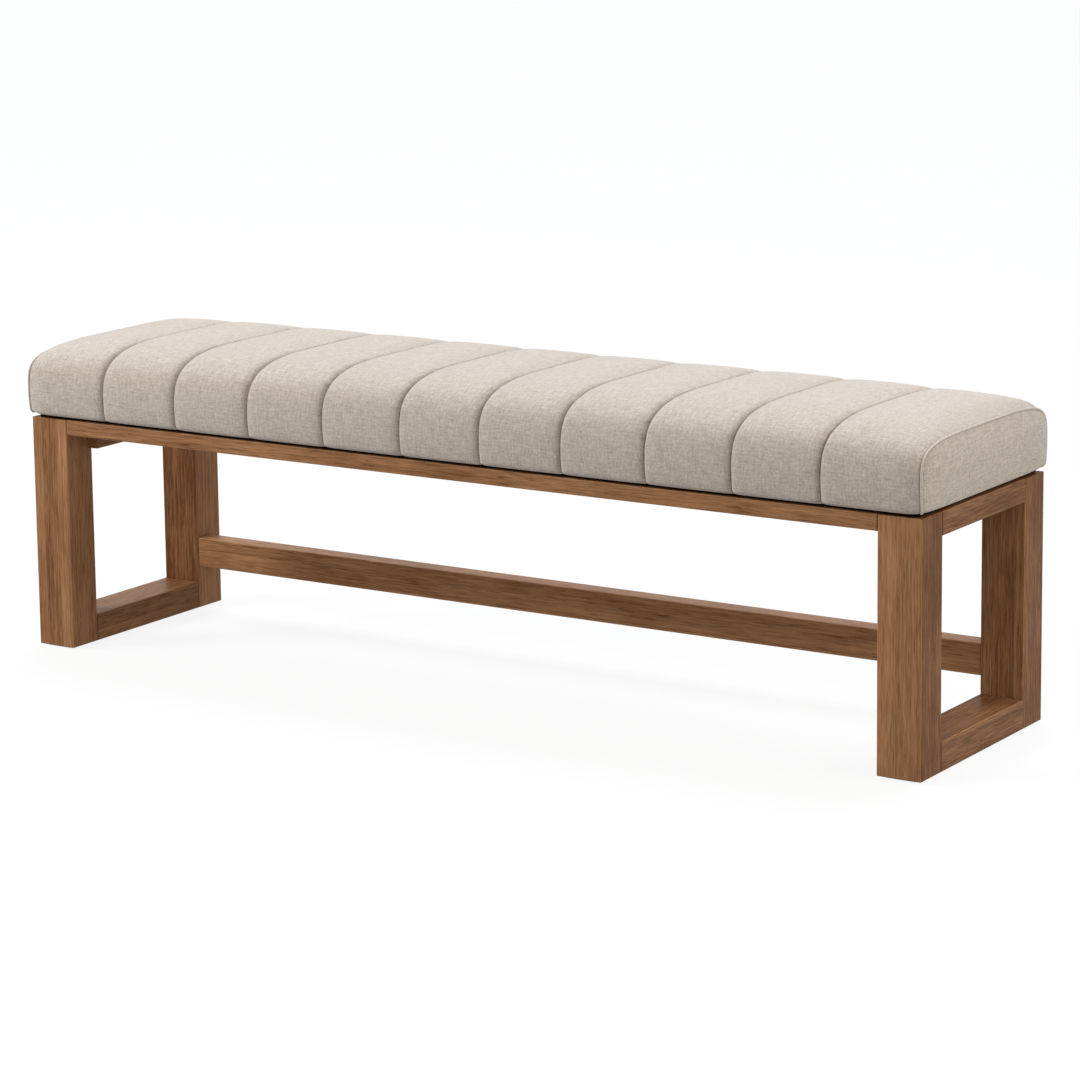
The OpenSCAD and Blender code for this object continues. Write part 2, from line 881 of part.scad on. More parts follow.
module seat_board() {
    color(plywood)
        difference() {
            translate([-core_end_x, -board_half_d, board_z])
                cube([2 * core_end_x, 2 * board_half_d, board_t]);
            bolt_places()
                translate([0, 0, board_z - frame_h + long_rail_h]) {
                    translate([0, 0, -overrun])
                        cylinder(r = nut_barrel_r + glue_gap, h = board_t + 2 * overrun);
                    translate([0, 0, board_t - nut_flange_t])
                        cylinder(r = nut_flange_r + glue_gap, h = nut_flange_t + overrun);
                }
            cover_staple_places() staple(staple_leg, glue_gap);
            dust_staple_places() staple(staple_leg + dust_gap_h, glue_gap);
        }
}

module dust_cover() {
    color(black)
        difference() {
            translate([-dust_half_l, -dust_half_d, strip_top])
                cube([2 * dust_half_l, 2 * dust_half_d, dust_t]);
            bolt_places()
                translate([0, 0, long_rail_h + gap_h - overrun])
                    cylinder(r = bolt_r + hole_gap, h = dust_t + 2 * overrun);
            dust_staple_places() staple(staple_leg + dust_gap_h, glue_gap);
        }
}

front_left_post();
front_right_post();
back_left_post();
back_right_post();
left_foot_rail();
right_foot_rail();
left_end_rail();
right_end_rail();
front_rail();
back_rail();
rear_stretcher();
left_seat_bearer();
right_seat_bearer();
left_cross_rail();
inner_left_cross_rail();
inner_right_cross_rail();
right_cross_rail();
front_left_corner_block();
front_right_corner_block();
back_left_corner_block();
back_right_corner_block();
end_frame_dowels();
long_rail_dowels();
stretcher_dowels();
cross_rail_dowels();
bearer_screws();
corner_block_screws();
front_left_floor_pad();
front_right_floor_pad();
back_left_floor_pad();
back_right_floor_pad();
front_spacer_strip();
back_spacer_strip();
left_spacer_strip();
right_spacer_strip();
bolt_spacers();
seat_bolts();
bolt_washers();
tee_nuts();
seat_board();
foam_core();
wadding_wrap();
dust_cover();
channelled_cover();
left_end_panel();
right_end_panel();
left_end_welt();
right_end_welt();
cover_staples();
dust_cover_staples();
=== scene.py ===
"""Looks of an upholstered banquette bench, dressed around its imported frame.

The frame holds the wooden pieces and the fixings at their real size. This
script gives each of them its finish, and models the soft pieces: the channelled
cover, its end panels, welts and stitches, and the layers inside the cushion.
Lengths are in metres. +X runs along the bench and the front faces -Y.
"""

import logging
import math
from dataclasses import dataclass
from enum import Enum
from typing import Sequence

import bmesh
import bpy
import numpy as np
from mathutils import Matrix, Vector


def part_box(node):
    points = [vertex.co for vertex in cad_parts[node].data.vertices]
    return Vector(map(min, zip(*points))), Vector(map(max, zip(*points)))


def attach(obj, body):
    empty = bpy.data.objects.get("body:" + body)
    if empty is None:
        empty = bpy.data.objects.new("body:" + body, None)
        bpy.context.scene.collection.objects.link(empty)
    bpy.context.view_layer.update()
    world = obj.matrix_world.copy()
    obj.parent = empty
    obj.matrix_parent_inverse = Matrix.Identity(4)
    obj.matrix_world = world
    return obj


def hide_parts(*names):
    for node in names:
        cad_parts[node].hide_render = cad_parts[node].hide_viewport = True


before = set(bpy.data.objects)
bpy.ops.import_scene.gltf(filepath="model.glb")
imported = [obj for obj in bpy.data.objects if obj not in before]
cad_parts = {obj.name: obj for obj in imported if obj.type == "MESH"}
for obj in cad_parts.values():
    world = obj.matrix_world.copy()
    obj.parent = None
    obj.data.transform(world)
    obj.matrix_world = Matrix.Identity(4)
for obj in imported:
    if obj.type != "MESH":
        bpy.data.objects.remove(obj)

LOG = logging.getLogger("bench")
BODY = "root"
WEAVE_MAP = "weave"

Colour = tuple[float, float, float, float]
Triple = tuple[float, float, float]
Value = bpy.types.NodeSocket | float | Sequence[float] | str
NoiseSpec = tuple[Triple, float, float]


class Axis(Enum):
    """Directions that grain, strips and layers run in."""

    X = (1.0, 0.0, 0.0)
    Y = (0.0, 1.0, 0.0)
    Z = (0.0, 0.0, 1.0)


class Side(Enum):
    """Ends of the bench, by the sign of their place along X."""

    LEFT = -1
    RIGHT = 1


# Shader building


class ShaderBuilder:
    """Adds nodes to one shader tree and links them."""

    def __init__(self, tree: bpy.types.NodeTree) -> None:
        """Keeps the tree that the nodes go into.

        Args:
            tree: a material's tree or a shader group.
        """
        self.tree = tree

    def node(self, kind: str, settings: dict[str, object] | None = None, **inputs: Value) -> bpy.types.Node:
        """Adds a node.

        Args:
            kind: the node's type name.
            settings: properties to set before the inputs.
            inputs: values or sockets by input name, with _ for a space.

        Returns:
            The new node.
        """
        made = self.tree.nodes.new(kind)
        for name, value in (settings or {}).items():
            setattr(made, name, value)
        for name, value in inputs.items():
            self.feed(made.inputs[name.replace("_", " ")], value)
        return made

    def feed(self, socket: bpy.types.NodeSocket, value: Value) -> None:
        """Links a socket to another one, or sets its constant value.

        Args:
            socket: the input to feed.
            value: a socket or a constant.
        """
        if isinstance(value, bpy.types.NodeSocket):
            self.tree.links.new(value, socket)
        else:
            socket.default_value = value

    def math(self, operation: str, a: Value, b: Value = 0.0) -> bpy.types.NodeSocket:
        """Adds a Math node.

        Args:
            operation: the node's operation.
            a: its first value.
            b: its second value.

        Returns:
            The node's output.
        """
        made = self.node("ShaderNodeMath", {"operation": operation})
        self.feed(made.inputs[0], a)
        self.feed(made.inputs[1], b)
        return made.outputs[0]

    def scaled(self, vector: Value, scale: Triple) -> bpy.types.NodeSocket:
        """Multiplies each component of a vector.

        Args:
            vector: the vector.
            scale: the three factors.

        Returns:
            The node's output.
        """
        made = self.node("ShaderNodeVectorMath", {"operation": "MULTIPLY"})
        self.feed(made.inputs[0], vector)
        self.feed(made.inputs[1], scale)
        return made.outputs[0]

    def combined(self, x: Value, y: Value, z: Value) -> bpy.types.NodeSocket:
        """Returns a vector made of three values."""
        return self.node("ShaderNodeCombineXYZ", X=x, Y=y, Z=z).outputs[0]

    def parts(self, vector: Value) -> Sequence[bpy.types.NodeSocket]:
        """Returns the three components of a vector."""
        return self.node("ShaderNodeSeparateXYZ", Vector=vector).outputs

    def noise(self, vector: Value, detail: float = 2.0, roughness: float = 0.5) -> bpy.types.NodeSocket:
        """Returns a noise from 0 to 1 with features about one unit wide."""
        made = self.node("ShaderNodeTexNoise", Vector=vector, Scale=1.0, Detail=detail, Roughness=roughness)
        return made.outputs["Fac"]

    def noises(self, vector: Value, specs: dict[str, NoiseSpec]) -> dict[str, bpy.types.NodeSocket]:
        """Returns noises by name, each told by its scale, detail and roughness."""
        return {name: self.noise(self.scaled(vector, scale), detail, roughness)
                for name, (scale, detail, roughness) in specs.items()}

    def ramp(self, value: Value, low: float, high: float, smooth: bool = True) -> bpy.types.NodeSocket:
        """Maps a value to 0 at low and 1 at high, clamped.

        Args:
            value: the value.
            low: where the rise starts.
            high: where it ends.
            smooth: whether the rise is eased.

        Returns:
            The node's output.
        """
        kind = "SMOOTHSTEP" if smooth else "LINEAR"
        made = self.node("ShaderNodeMapRange", {"interpolation_type": kind}, Value=value)
        made.inputs["From Min"].default_value = low
        made.inputs["From Max"].default_value = high
        return made.outputs["Result"]

    def mixed(self, factor: Value, a: Value, b: Value) -> bpy.types.NodeSocket:
        """Mixes two colours.

        Args:
            factor: 0 for the first and 1 for the second.
            a: first colour.
            b: second colour.

        Returns:
            The node's output.
        """
        made = self.node("ShaderNodeMix", {"data_type": "RGBA"})
        colours = [s for s in made.inputs if s.type == "RGBA"]
        self.feed(made.inputs[0], factor)
        self.feed(colours[0], a)
        self.feed(colours[1], b)
        return next(s for s in made.outputs if s.type == "RGBA")

    def swing(self, centre: float, values: dict[str, Value],
              weights: dict[str, float]) -> bpy.types.NodeSocket:
        """Adds up noises that swing round 0.5, each with its own weight.

        Args:
            centre: the sum where every noise is 0.5.
            values: noises from 0 to 1 by name.
            weights: weights by the name of their noise, for those that are added.

        Returns:
            The node's output.
        """
        total: Value = centre - 0.5 * sum(weights.values())
        for name, weight in weights.items():
            total = self.math("ADD", total, self.math("MULTIPLY", values[name], weight))
        return total


@dataclass(frozen=True)
class GroupSpec:
    """Name and sockets of a shader group."""

    name: str
    inputs: dict[str, str]
    outputs: dict[str, str]

    def start(self) -> tuple[ShaderBuilder, dict[str, bpy.types.NodeSocket], bpy.types.Node]:
        """Makes the empty group.

        Returns:
            Its builder, its input sockets by name, and its output node.
        """
        tree = bpy.data.node_groups.new(self.name, "ShaderNodeTree")
        for way, sockets in (("INPUT", self.inputs), ("OUTPUT", self.outputs)):
            for name, kind in sockets.items():
                tree.interface.new_socket(name=name, in_out=way, socket_type=f"NodeSocket{kind}")
        build = ShaderBuilder(tree)
        entry = build.node("NodeGroupInput")
        return build, {s.name: s for s in entry.outputs if s.name}, build.node("NodeGroupOutput")


def fresh_tree(owner: bpy.types.Material | bpy.types.World) -> ShaderBuilder:
    """Empties the node tree of a material or a world.

    Args:
        owner: the material or the world.

    Returns:
        A builder for the empty tree.
    """
    owner.use_nodes = True
    owner.node_tree.nodes.clear()
    return ShaderBuilder(owner.node_tree)


def surface(name: str, **shader: float | Sequence[float],
            ) -> tuple[bpy.types.Material, ShaderBuilder, bpy.types.Node]:
    """Starts a material on the Principled shader.

    Args:
        name: the material's name.
        shader: constant values by input name, with _ for a space.

    Returns:
        The material, its builder and its Principled node.
    """
    material = bpy.data.materials.new(name)
    build = fresh_tree(material)
    principled = build.node("ShaderNodeBsdfPrincipled", **shader)
    build.node("ShaderNodeOutputMaterial", Surface=principled.outputs[0])
    return material, build, principled


def relief(build: ShaderBuilder, principled: bpy.types.Node, height: Value,
           depth: float, strength: float) -> None:
    """Feeds a height to the shader's normal through a Bump node.

    Args:
        build: the material's builder.
        principled: the material's shader.
        height: the height from 0 to 1.
        depth: the distance that 1 stands for.
        strength: strength of the bump.
    """
    bump = build.node("ShaderNodeBump", Height=height, Distance=depth, Strength=strength)
    build.feed(principled.inputs["Normal"], bump.outputs[0])


class SharedGroup:
    """A shader group that is built at its first use and shared by its materials."""

    SPEC: GroupSpec
    tree: bpy.types.NodeTree | None = None

    @classmethod
    def built(cls) -> bpy.types.NodeTree:
        """Builds the group."""
        raise NotImplementedError

    @classmethod
    def dress(cls, build: ShaderBuilder, principled: bpy.types.Node, values: dict[str, Value],
              depth: float, strength: float) -> None:
        """Puts the group into a material and feeds what it puts out to the shader.

        Args:
            build: the material's builder.
            principled: the material's shader.
            values: values or sockets by the group's input name.
            depth: height of the relief in metres.
            strength: strength of the relief.
        """
        if cls.tree is None:
            cls.tree = cls.built()
        placed = build.node("ShaderNodeGroup", {"node_tree": cls.tree})
        for name, value in values.items():
            build.feed(placed.inputs[name], value)
        for output, target in (("Color", "Base Color"), ("Roughness", "Roughness")):
            build.feed(principled.inputs[target], placed.outputs[output])
        relief(build, principled, placed.outputs["Height"], depth, strength)


# Finishes


class WoodGrain(SharedGroup):
    """Shader group of solid wood, shared by every wooden finish.

    Scales are in features per metre along the grain and across it, and depths
    and weights in shares of the step from the dark colour to the light one.
    """

    SPEC = GroupSpec(
        "solid wood grain",
        {"Vector": "Vector", "Half Length": "Float", "Strip Width": "Float", "Seed": "Float",
         "Light": "Color", "Dark": "Color", "Tone": "Float", "Side Light And Shade": "Float", "Figure": "Float",
         "Edge": "Float"},
        {"Color": "Color", "Roughness": "Float", "Height": "Float"},
    )
    NOISES: dict[str, NoiseSpec] = {
        "wander": ((1.6, 9.0, 9.0), 1.0, 0.5),
        "ripple": ((5.0, 60.0, 60.0), 2.0, 0.5),
        "streaks": ((5.0, 160.0, 160.0), 3.0, 0.6),
        "fibres": ((17.0, 430.0, 430.0), 3.0, 0.65),
        "flecks": ((42.0, 560.0, 560.0), 2.0, 0.6),
        "blotches": ((7.0, 18.0, 18.0), 3.0, 0.5),
        "pores": ((30.0, 700.0, 700.0), 1.0, 0.5),
    }
    FIGURE = {"rings": 0.9, "streaks": 0.8, "fibres": 1.7, "flecks": 1.2, "blotches": 1.1, "strips": 0.40}
    ROUGHNESS = {"fibres": 0.12, "streaks": 0.10}
    MEAN_ROUGHNESS = 0.36
    PORE_ROUGHNESS = 0.2
    RELIEF = {"fibres": 0.35, "rings": 0.25}
    PORE_RELIEF = 0.6
    GLUE_RELIEF = 0.5
    STRIP_RANDOMNESS = 0.7
    GLUE_LINE = (0.004, 0.022)
    SEED_SHIFT = 3.1
    STRIP_SHIFT = 7.3
    BEND = 0.030
    PITH_SPREAD = (0.05, 0.03)
    PITH_DEPTH = 0.035
    RINGS_PER_METRE = 260.0
    RING_RIPPLE = 1.3
    RING_DRIFT = 0.8
    RING_NOISE = (2.0, 0.6)
    PORE_EDGE = (0.60, 0.70)
    PORE_DEPTH = 0.30
    GLUE_DEPTH = 0.16
    WORN_LIT_EDGE = (0.80, 0.995)
    SIDE_EDGE = (0.5, 0.9)
    BUTT_EDGE = (0.0003, 0.0017)
    BUTT_DEPTH = 0.55

    @classmethod
    def built(cls) -> bpy.types.NodeTree:
        """Builds the group: X of its vector runs along the grain, Y across the strips.

        Returns:
            The group's tree.
        """
        build, given, out = cls.SPEC.start()
        along, across, through = build.parts(given["Vector"])
        seed = given["Seed"]

        strip_place = build.math("ADD", build.math("DIVIDE", across, given["Strip Width"]), seed)
        strip, edge = (
            build.node("ShaderNodeTexVoronoi", {"voronoi_dimensions": "1D", "feature": feature},
                       W=strip_place, Scale=1.0, Randomness=cls.STRIP_RANDOMNESS)
            for feature in ("F1", "DISTANCE_TO_EDGE"))
        strip_tone, strip_y, strip_z = build.parts(strip.outputs["Color"])
        glue = build.math("SUBTRACT", 1.0, build.ramp(edge.outputs["Distance"], *cls.GLUE_LINE))

        shift = build.math("MULTIPLY", strip_tone, cls.STRIP_SHIFT)
        far = build.math("ADD", build.math("MULTIPLY", seed, cls.SEED_SHIFT), shift)
        place = build.combined(build.math("ADD", along, far), across, through)
        noise = build.noises(place, cls.NOISES)
        bend = build.math("MULTIPLY", build.math("SUBTRACT", noise["wander"], 0.5), cls.BEND)
        spread_y, spread_z = (build.math("MULTIPLY", part, spread)
                              for part, spread in zip((strip_y, strip_z), cls.PITH_SPREAD))
        pith_y = build.math("ADD", build.math("ADD", across, spread_y), bend)
        pith_z = build.math("ADD", build.math("ADD", through, spread_z), cls.PITH_DEPTH)
        ring_radius = build.math("SQRT", build.math(
            "ADD", build.math("MULTIPLY", pith_y, pith_y), build.math("MULTIPLY", pith_z, pith_z)))
        ring_place = build.math("ADD", build.math("MULTIPLY", ring_radius, cls.RINGS_PER_METRE),
                                build.math("MULTIPLY", noise["ripple"], cls.RING_RIPPLE))
        drift = build.math("MULTIPLY", along, cls.RING_DRIFT)
        noise["rings"] = build.noise(build.combined(ring_place, strip_tone, drift), *cls.RING_NOISE)
        noise["strips"] = strip_tone
        pores = build.ramp(noise["pores"], *cls.PORE_EDGE)

        figure = build.swing(0.0, noise, cls.FIGURE)
        light = build.math("ADD", build.math("MULTIPLY", figure, given["Figure"]), given["Tone"])
        light = build.math("SUBTRACT", light, build.math("MULTIPLY", pores, cls.PORE_DEPTH))
        light = build.math("SUBTRACT", light, build.math("MULTIPLY", glue, cls.GLUE_DEPTH))

        facing = [build.math("ABSOLUTE", part)
                  for part in build.parts(build.node("ShaderNodeTexCoord").outputs["Normal"])]
        flat = build.math("MAXIMUM", build.math("MAXIMUM", facing[0], facing[1]), facing[2])
        # Lighter eased arrises: partly stain worn thin there, partly a painted highlight along the edges.
        worn_lit_edge = build.math("SUBTRACT", 1.0, build.ramp(flat, *cls.WORN_LIT_EDGE))
        light = build.math("ADD", light, build.math("MULTIPLY", worn_lit_edge, given["Edge"]))
        # Faces that look along X are made lighter or darker here: painted light and shade on the sides of
        # the members.
        sideways = build.ramp(facing[0], *cls.SIDE_EDGE)
        light = build.math("ADD", light, build.math("MULTIPLY", sideways, given["Side Light And Shade"]))

        reach = build.math("SUBTRACT", given["Half Length"], build.math("ABSOLUTE", along))
        butt = build.math("SUBTRACT", 1.0, build.ramp(reach, *cls.BUTT_EDGE))
        light = build.math("SUBTRACT", light, build.math("MULTIPLY", butt, cls.BUTT_DEPTH))

        clamped = build.ramp(light, 0.0, 1.0, smooth=False)
        build.feed(out.inputs["Color"], build.mixed(clamped, given["Dark"], given["Light"]))
        rough = build.swing(cls.MEAN_ROUGHNESS, noise, cls.ROUGHNESS)
        build.feed(out.inputs["Roughness"], build.math(
            "ADD", rough, build.math("MULTIPLY", pores, cls.PORE_ROUGHNESS)))
        height = build.swing(0.0, noise, cls.RELIEF)
        build.feed(out.inputs["Height"], build.math("SUBTRACT", height, build.math(
            "ADD", build.math("MULTIPLY", pores, cls.PORE_RELIEF),
            build.math("MULTIPLY", glue, cls.GLUE_RELIEF))))
        return build.tree


@dataclass(frozen=True)
class WoodFinish:
    """A wood with its colours, strips and polish."""

    name: str
    light: Colour
    dark: Colour
    strip_width: float
    figure: float
    # lightness added on the eased arrises: partly stain worn thin, partly a painted highlight.
    edge: float
    specular: float
    relief_depth: float = 0.0004
    relief_strength: float = 0.5

    def material(self, node: str, grain: Axis, strips: Axis, tone: float, seed: float,
                 side_light_and_shade: float = 0.0, free_end: float = 0.0) -> bpy.types.Material:
        """Makes the material of one piece, with the pattern centred and turned on it.

        Args:
            node: the CAD node that wears it.
            grain: direction of the grain.
            strips: direction across the glued strips.
            tone: lightness of this piece from 0 to 1.
            seed: number that tells its pattern from the others.
            side_light_and_shade: painted light and shade on the faces that look along X, lighter where
                positive and darker where negative.
            free_end: length past each end where the joint's dark line lies, for an end that shows.

        Returns:
            The material.
        """
        low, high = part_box(node)
        centre = (low + high) / 2
        first, second = Vector(grain.value), Vector(strips.value)
        turn = Matrix((first, second, first.cross(second))).transposed().to_euler()
        half = abs((high - low).dot(first)) / 2 + free_end
        material, build, principled = surface(
            f"{self.name} {node}", Specular_IOR_Level=self.specular)
        spot = build.node("ShaderNodeTexCoord").outputs["Object"]
        mapped = build.node(
            "ShaderNodeMapping", {"vector_type": "TEXTURE"}, Vector=spot, Location=centre, Rotation=turn)
        WoodGrain.dress(build, principled, {
            "Vector": mapped.outputs[0], "Half Length": half, "Strip Width": self.strip_width,
            "Seed": seed, "Light": self.light, "Dark": self.dark, "Tone": tone, "Side Light And Shade": side_light_and_shade,
            "Figure": self.figure, "Edge": self.edge}, self.relief_depth, self.relief_strength)
        return material


class PlainWeave(SharedGroup):
    """Shader group of a slubby plain weave, shared by the cover, panels and welts.

    Scales are in features per metre across the threads and along them, or the
    other way round for the weft.
    """

    SPEC = GroupSpec(
        "plain weave",
        {"Vector": "Vector", "Threads": "Float", "Light": "Color", "Dark": "Color", "Contrast": "Float"},
        {"Color": "Color", "Roughness": "Float", "Height": "Float"},
    )
    NOISES: dict[str, NoiseSpec] = {
        "warp slub": ((370.0, 62.0, 1.0), 2.0, 0.6),
        "weft slub": ((56.0, 360.0, 1.0), 2.0, 0.6),
        "warp band": ((210.0, 12.0, 1.0), 1.0, 0.5),
        "weft band": ((11.0, 230.0, 1.0), 1.0, 0.5),
        "mottle": ((90.0, 90.0, 1.0), 3.0, 0.6),
        "fleck": ((340.0, 340.0, 1.0), 2.0, 0.5),
    }
    TONE = {"thread": 0.8, "warp slub": 1.5, "weft slub": 1.5, "warp band": 0.4, "weft band": 0.4,
            "mottle": 0.4, "fleck": 2.1}
    ROUGHNESS = {"mottle": 0.1}
    MEAN_ROUGHNESS = 0.88
    RELIEF = {"warp slub": 0.8, "weft slub": 0.8}
    THREAD_RELIEF = 0.5
    OVER_EDGE = 0.12
    THREAD_ROUNDNESS = 0.4
    FLECK_EDGE = (0.60, 0.75)
    FLECK_DEPTH = 0.10
    GAP_SHADE = 0.16
    MIDDLE_TONE = 0.55

    @classmethod
    def built(cls) -> bpy.types.NodeTree:
        """Builds the group: its vector is the cloth's flat place in metres.

        Returns:
            The group's tree.
        """
        build, given, out = cls.SPEC.start()
        wave_u, wave_v = (
            build.math("SINE", build.math("MULTIPLY", build.math(
                "MULTIPLY", part, given["Threads"]), math.pi))
            for part in build.parts(given["Vector"])[:2])
        over = build.ramp(build.math("MULTIPLY", wave_u, wave_v), -cls.OVER_EDGE, cls.OVER_EDGE)
        round_u, round_v = build.math("ABSOLUTE", wave_u), build.math("ABSOLUTE", wave_v)
        warp_height, weft_height = (
            build.math("MULTIPLY", a, build.math("POWER", b, cls.THREAD_ROUNDNESS))
            for a, b in ((round_u, round_v), (round_v, round_u)))

        noise = build.noises(given["Vector"], cls.NOISES)
        noise["thread"] = build.mixed(over, noise["weft slub"], noise["warp slub"])
        fleck = build.ramp(noise["fleck"], *cls.FLECK_EDGE)
        tone = build.swing(0.0, noise, cls.TONE)
        tone = build.math("ADD", build.math("MULTIPLY", tone, given["Contrast"]), cls.MIDDLE_TONE)
        # Darker in the hollows between the threads: painted shade.
        gap = build.math("SUBTRACT", 1.0, build.math("MAXIMUM", warp_height, weft_height))
        tone = build.math("SUBTRACT", tone, build.math("MULTIPLY", gap, cls.GAP_SHADE))
        tone = build.math("SUBTRACT", tone, build.math("MULTIPLY", fleck, cls.FLECK_DEPTH))
        clamped = build.ramp(tone, 0.0, 1.0, smooth=False)
        build.feed(out.inputs["Color"], build.mixed(clamped, given["Dark"], given["Light"]))
        build.feed(out.inputs["Roughness"], build.swing(cls.MEAN_ROUGHNESS, noise, cls.ROUGHNESS))
        lay = build.math("ADD", build.math("MULTIPLY", over, warp_height), build.math(
            "MULTIPLY", build.math("SUBTRACT", 1.0, over), weft_height))
        swell = build.swing(0.0, noise, cls.RELIEF)
        build.feed(out.inputs["Height"], build.math(
            "ADD", build.math("MULTIPLY", lay, cls.THREAD_RELIEF), swell))
        return build.tree


@dataclass(frozen=True)
class LinenFinish:
    """Oatmeal linen cloth of the cover."""

    light: Colour = (0.735, 0.650, 0.570, 1.0)
    dark: Colour = (0.390, 0.328, 0.272, 1.0)
    threads_per_metre: float = 1150.0
    contrast: float = 0.50
    relief_depth: float = 0.0005
    relief_strength: float = 0.55

    def material(self, name: str) -> bpy.types.Material:
        """Makes the cloth's material, laid out on the piece's weave map.

        Args:
            name: the material's name.

        Returns:
            The material.
        """
        material, build, principled = surface(
            name, Specular_IOR_Level=0.12, Sheen_Weight=0.50, Sheen_Roughness=0.45,
            Sheen_Tint=(1.0, 0.98, 0.95, 1.0))
        PlainWeave.dress(build, principled, {
            "Vector": build.node("ShaderNodeUVMap", {"uv_map": WEAVE_MAP}).outputs[0],
            "Threads": self.threads_per_metre, "Light": self.light, "Dark": self.dark,
            "Contrast": self.contrast}, self.relief_depth, self.relief_strength)
        return material


@dataclass(frozen=True)
class SpeckledFinish:
    """A finish told by two colours that a noise mixes, with a fine relief."""

    name: str
    light: Colour
    dark: Colour
    scale: Triple
    roughness: float
    metallic: float = 0.0
    depth: float = 0.0003
    strength: float = 0.4
    specular: float = 0.5
    sheen: float = 0.0
    blotch_size: float = 12.0
    noise_detail: tuple[float, float] = (4.0, 0.65)

    def material(self) -> bpy.types.Material:
        """Makes the material on the piece's own place.

        Returns:
            The material.
        """
        material, build, principled = surface(
            self.name, Metallic=self.metallic, Specular_IOR_Level=self.specular, Sheen_Weight=self.sheen)
        spot = build.node("ShaderNodeTexCoord").outputs["Object"]
        noise = {
            "fine": build.noise(build.scaled(spot, self.scale), *self.noise_detail),
            "broad": build.noise(build.scaled(spot, tuple(s / self.blotch_size for s in self.scale))),
        }
        tone = build.ramp(build.swing(0.5, noise, {"fine": 1.1, "broad": 0.7}), 0.0, 1.0, smooth=False)
        build.feed(principled.inputs["Base Color"], build.mixed(tone, self.dark, self.light))
        rough = build.swing(self.roughness, noise, {"fine": 0.16, "broad": 0.08})
        build.feed(principled.inputs["Roughness"], rough)
        relief(build, principled, noise["fine"], self.depth, self.strength)
        return material


STAIN = WoodFinish("stained wood", light=(0.516, 0.264, 0.127, 1.0), dark=(0.134, 0.051, 0.016, 1.0),
                   strip_width=0.024, figure=0.60, edge=0.36, specular=0.06)
BEECH = WoodFinish("pale beech", light=(0.74, 0.56, 0.36, 1.0), dark=(0.50, 0.33, 0.18, 1.0),
                   strip_width=0.2, figure=0.5, edge=0.05, specular=0.25)
BIRCH_PLY = WoodFinish("birch plywood", light=(0.76, 0.60, 0.40, 1.0), dark=(0.46, 0.32, 0.19, 1.0),
                       strip_width=0.0014, figure=0.7, edge=0.0, specular=0.25)
COVER_LINEN = LinenFinish()
PANEL_LINEN = LinenFinish(contrast=0.58)
# Cord cloth lighter than the cover: a painted highlight for the light that the cord's ridge catches.
LIT_CORD_LINEN = LinenFinish(light=(0.800, 0.715, 0.635, 1.0), dark=(0.470, 0.400, 0.340, 1.0))
# Thread far darker than the cloth, so that it deepens the dark line in each seam: painted shade.
SHADE_DARK_SEAM_THREAD = SpeckledFinish("seam thread dark as shade", light=(0.33, 0.28, 0.23, 1), dark=(0.18, 0.15, 0.125, 1),
                             scale=(2200, 2200, 2200), roughness=0.7)
FOAM = SpeckledFinish("open cell foam", light=(0.93, 0.88, 0.68, 1), dark=(0.72, 0.64, 0.42, 1),
                      scale=(900, 900, 900), roughness=0.9, depth=0.0006, strength=0.7, specular=0.2)
WADDING = SpeckledFinish("polyester wadding", light=(0.95, 0.95, 0.94, 1), dark=(0.74, 0.74, 0.73, 1),
                         scale=(260, 700, 700), roughness=0.95, depth=0.0012, strength=0.8,
                         specular=0.15, sheen=0.4)
DUST_CLOTH = SpeckledFinish("dust cloth", light=(0.035, 0.035, 0.036, 1), dark=(0.012, 0.012, 0.012, 1),
                            scale=(700, 700, 700), roughness=0.85, depth=0.0002, strength=0.6)
ZINC = SpeckledFinish("zinc plated steel", light=(0.72, 0.72, 0.70, 1), dark=(0.48, 0.49, 0.51, 1),
                      scale=(900, 900, 900), roughness=0.34, metallic=1.0, depth=0.0001)
FELT = SpeckledFinish("felt", light=(0.17, 0.14, 0.12, 1), dark=(0.07, 0.055, 0.045, 1),
                      scale=(1600, 1600, 500), roughness=0.95, depth=0.0004, strength=0.8, specular=0.2)
BLACK_STRIP = SpeckledFinish("black strip", light=(0.020, 0.013, 0.009, 1), dark=(0.009, 0.006, 0.004, 1),
                             scale=(400, 400, 400), roughness=0.8, depth=0.0002, specular=0.08)


# Mesh building


def resampled(line: np.ndarray, count: int) -> np.ndarray:
    """Returns a polyline again with evenly spaced points.

    Args:
        line: points as rows.
        count: number of steps between the new points.

    Returns:
        count + 1 points.
    """
    steps = np.linalg.norm(np.diff(line, axis=0), axis=1)
    length = np.concatenate([[0.0], np.cumsum(steps)])
    at = np.linspace(0.0, length[-1], count + 1)
    return np.stack([np.interp(at, length, line[:, k]) for k in range(line.shape[1])], axis=1)


def lengths_along(points: np.ndarray) -> np.ndarray:
    """Returns the length run at each point of rows of points, along the second axis."""
    steps = np.linalg.norm(np.diff(points, axis=1), axis=2)
    return np.concatenate([np.zeros((len(points), 1)), np.cumsum(steps, axis=1)], axis=1)


def grid_faces(rows: int, columns: int, flip: bool) -> list[tuple[int, ...]]:
    """Makes the quads of a grid of points.

    Args:
        rows: number of rows of points.
        columns: number of points in a row.
        flip: whether the quads are turned round.

    Returns:
        The faces as tuples of point numbers.
    """
    faces = []
    for j in range(rows - 1):
        for i in range(columns - 1):
            a = j * columns + i
            quad = (a, a + 1, a + columns + 1, a + columns)
            faces.append(quad[::-1] if flip else quad)
    return faces


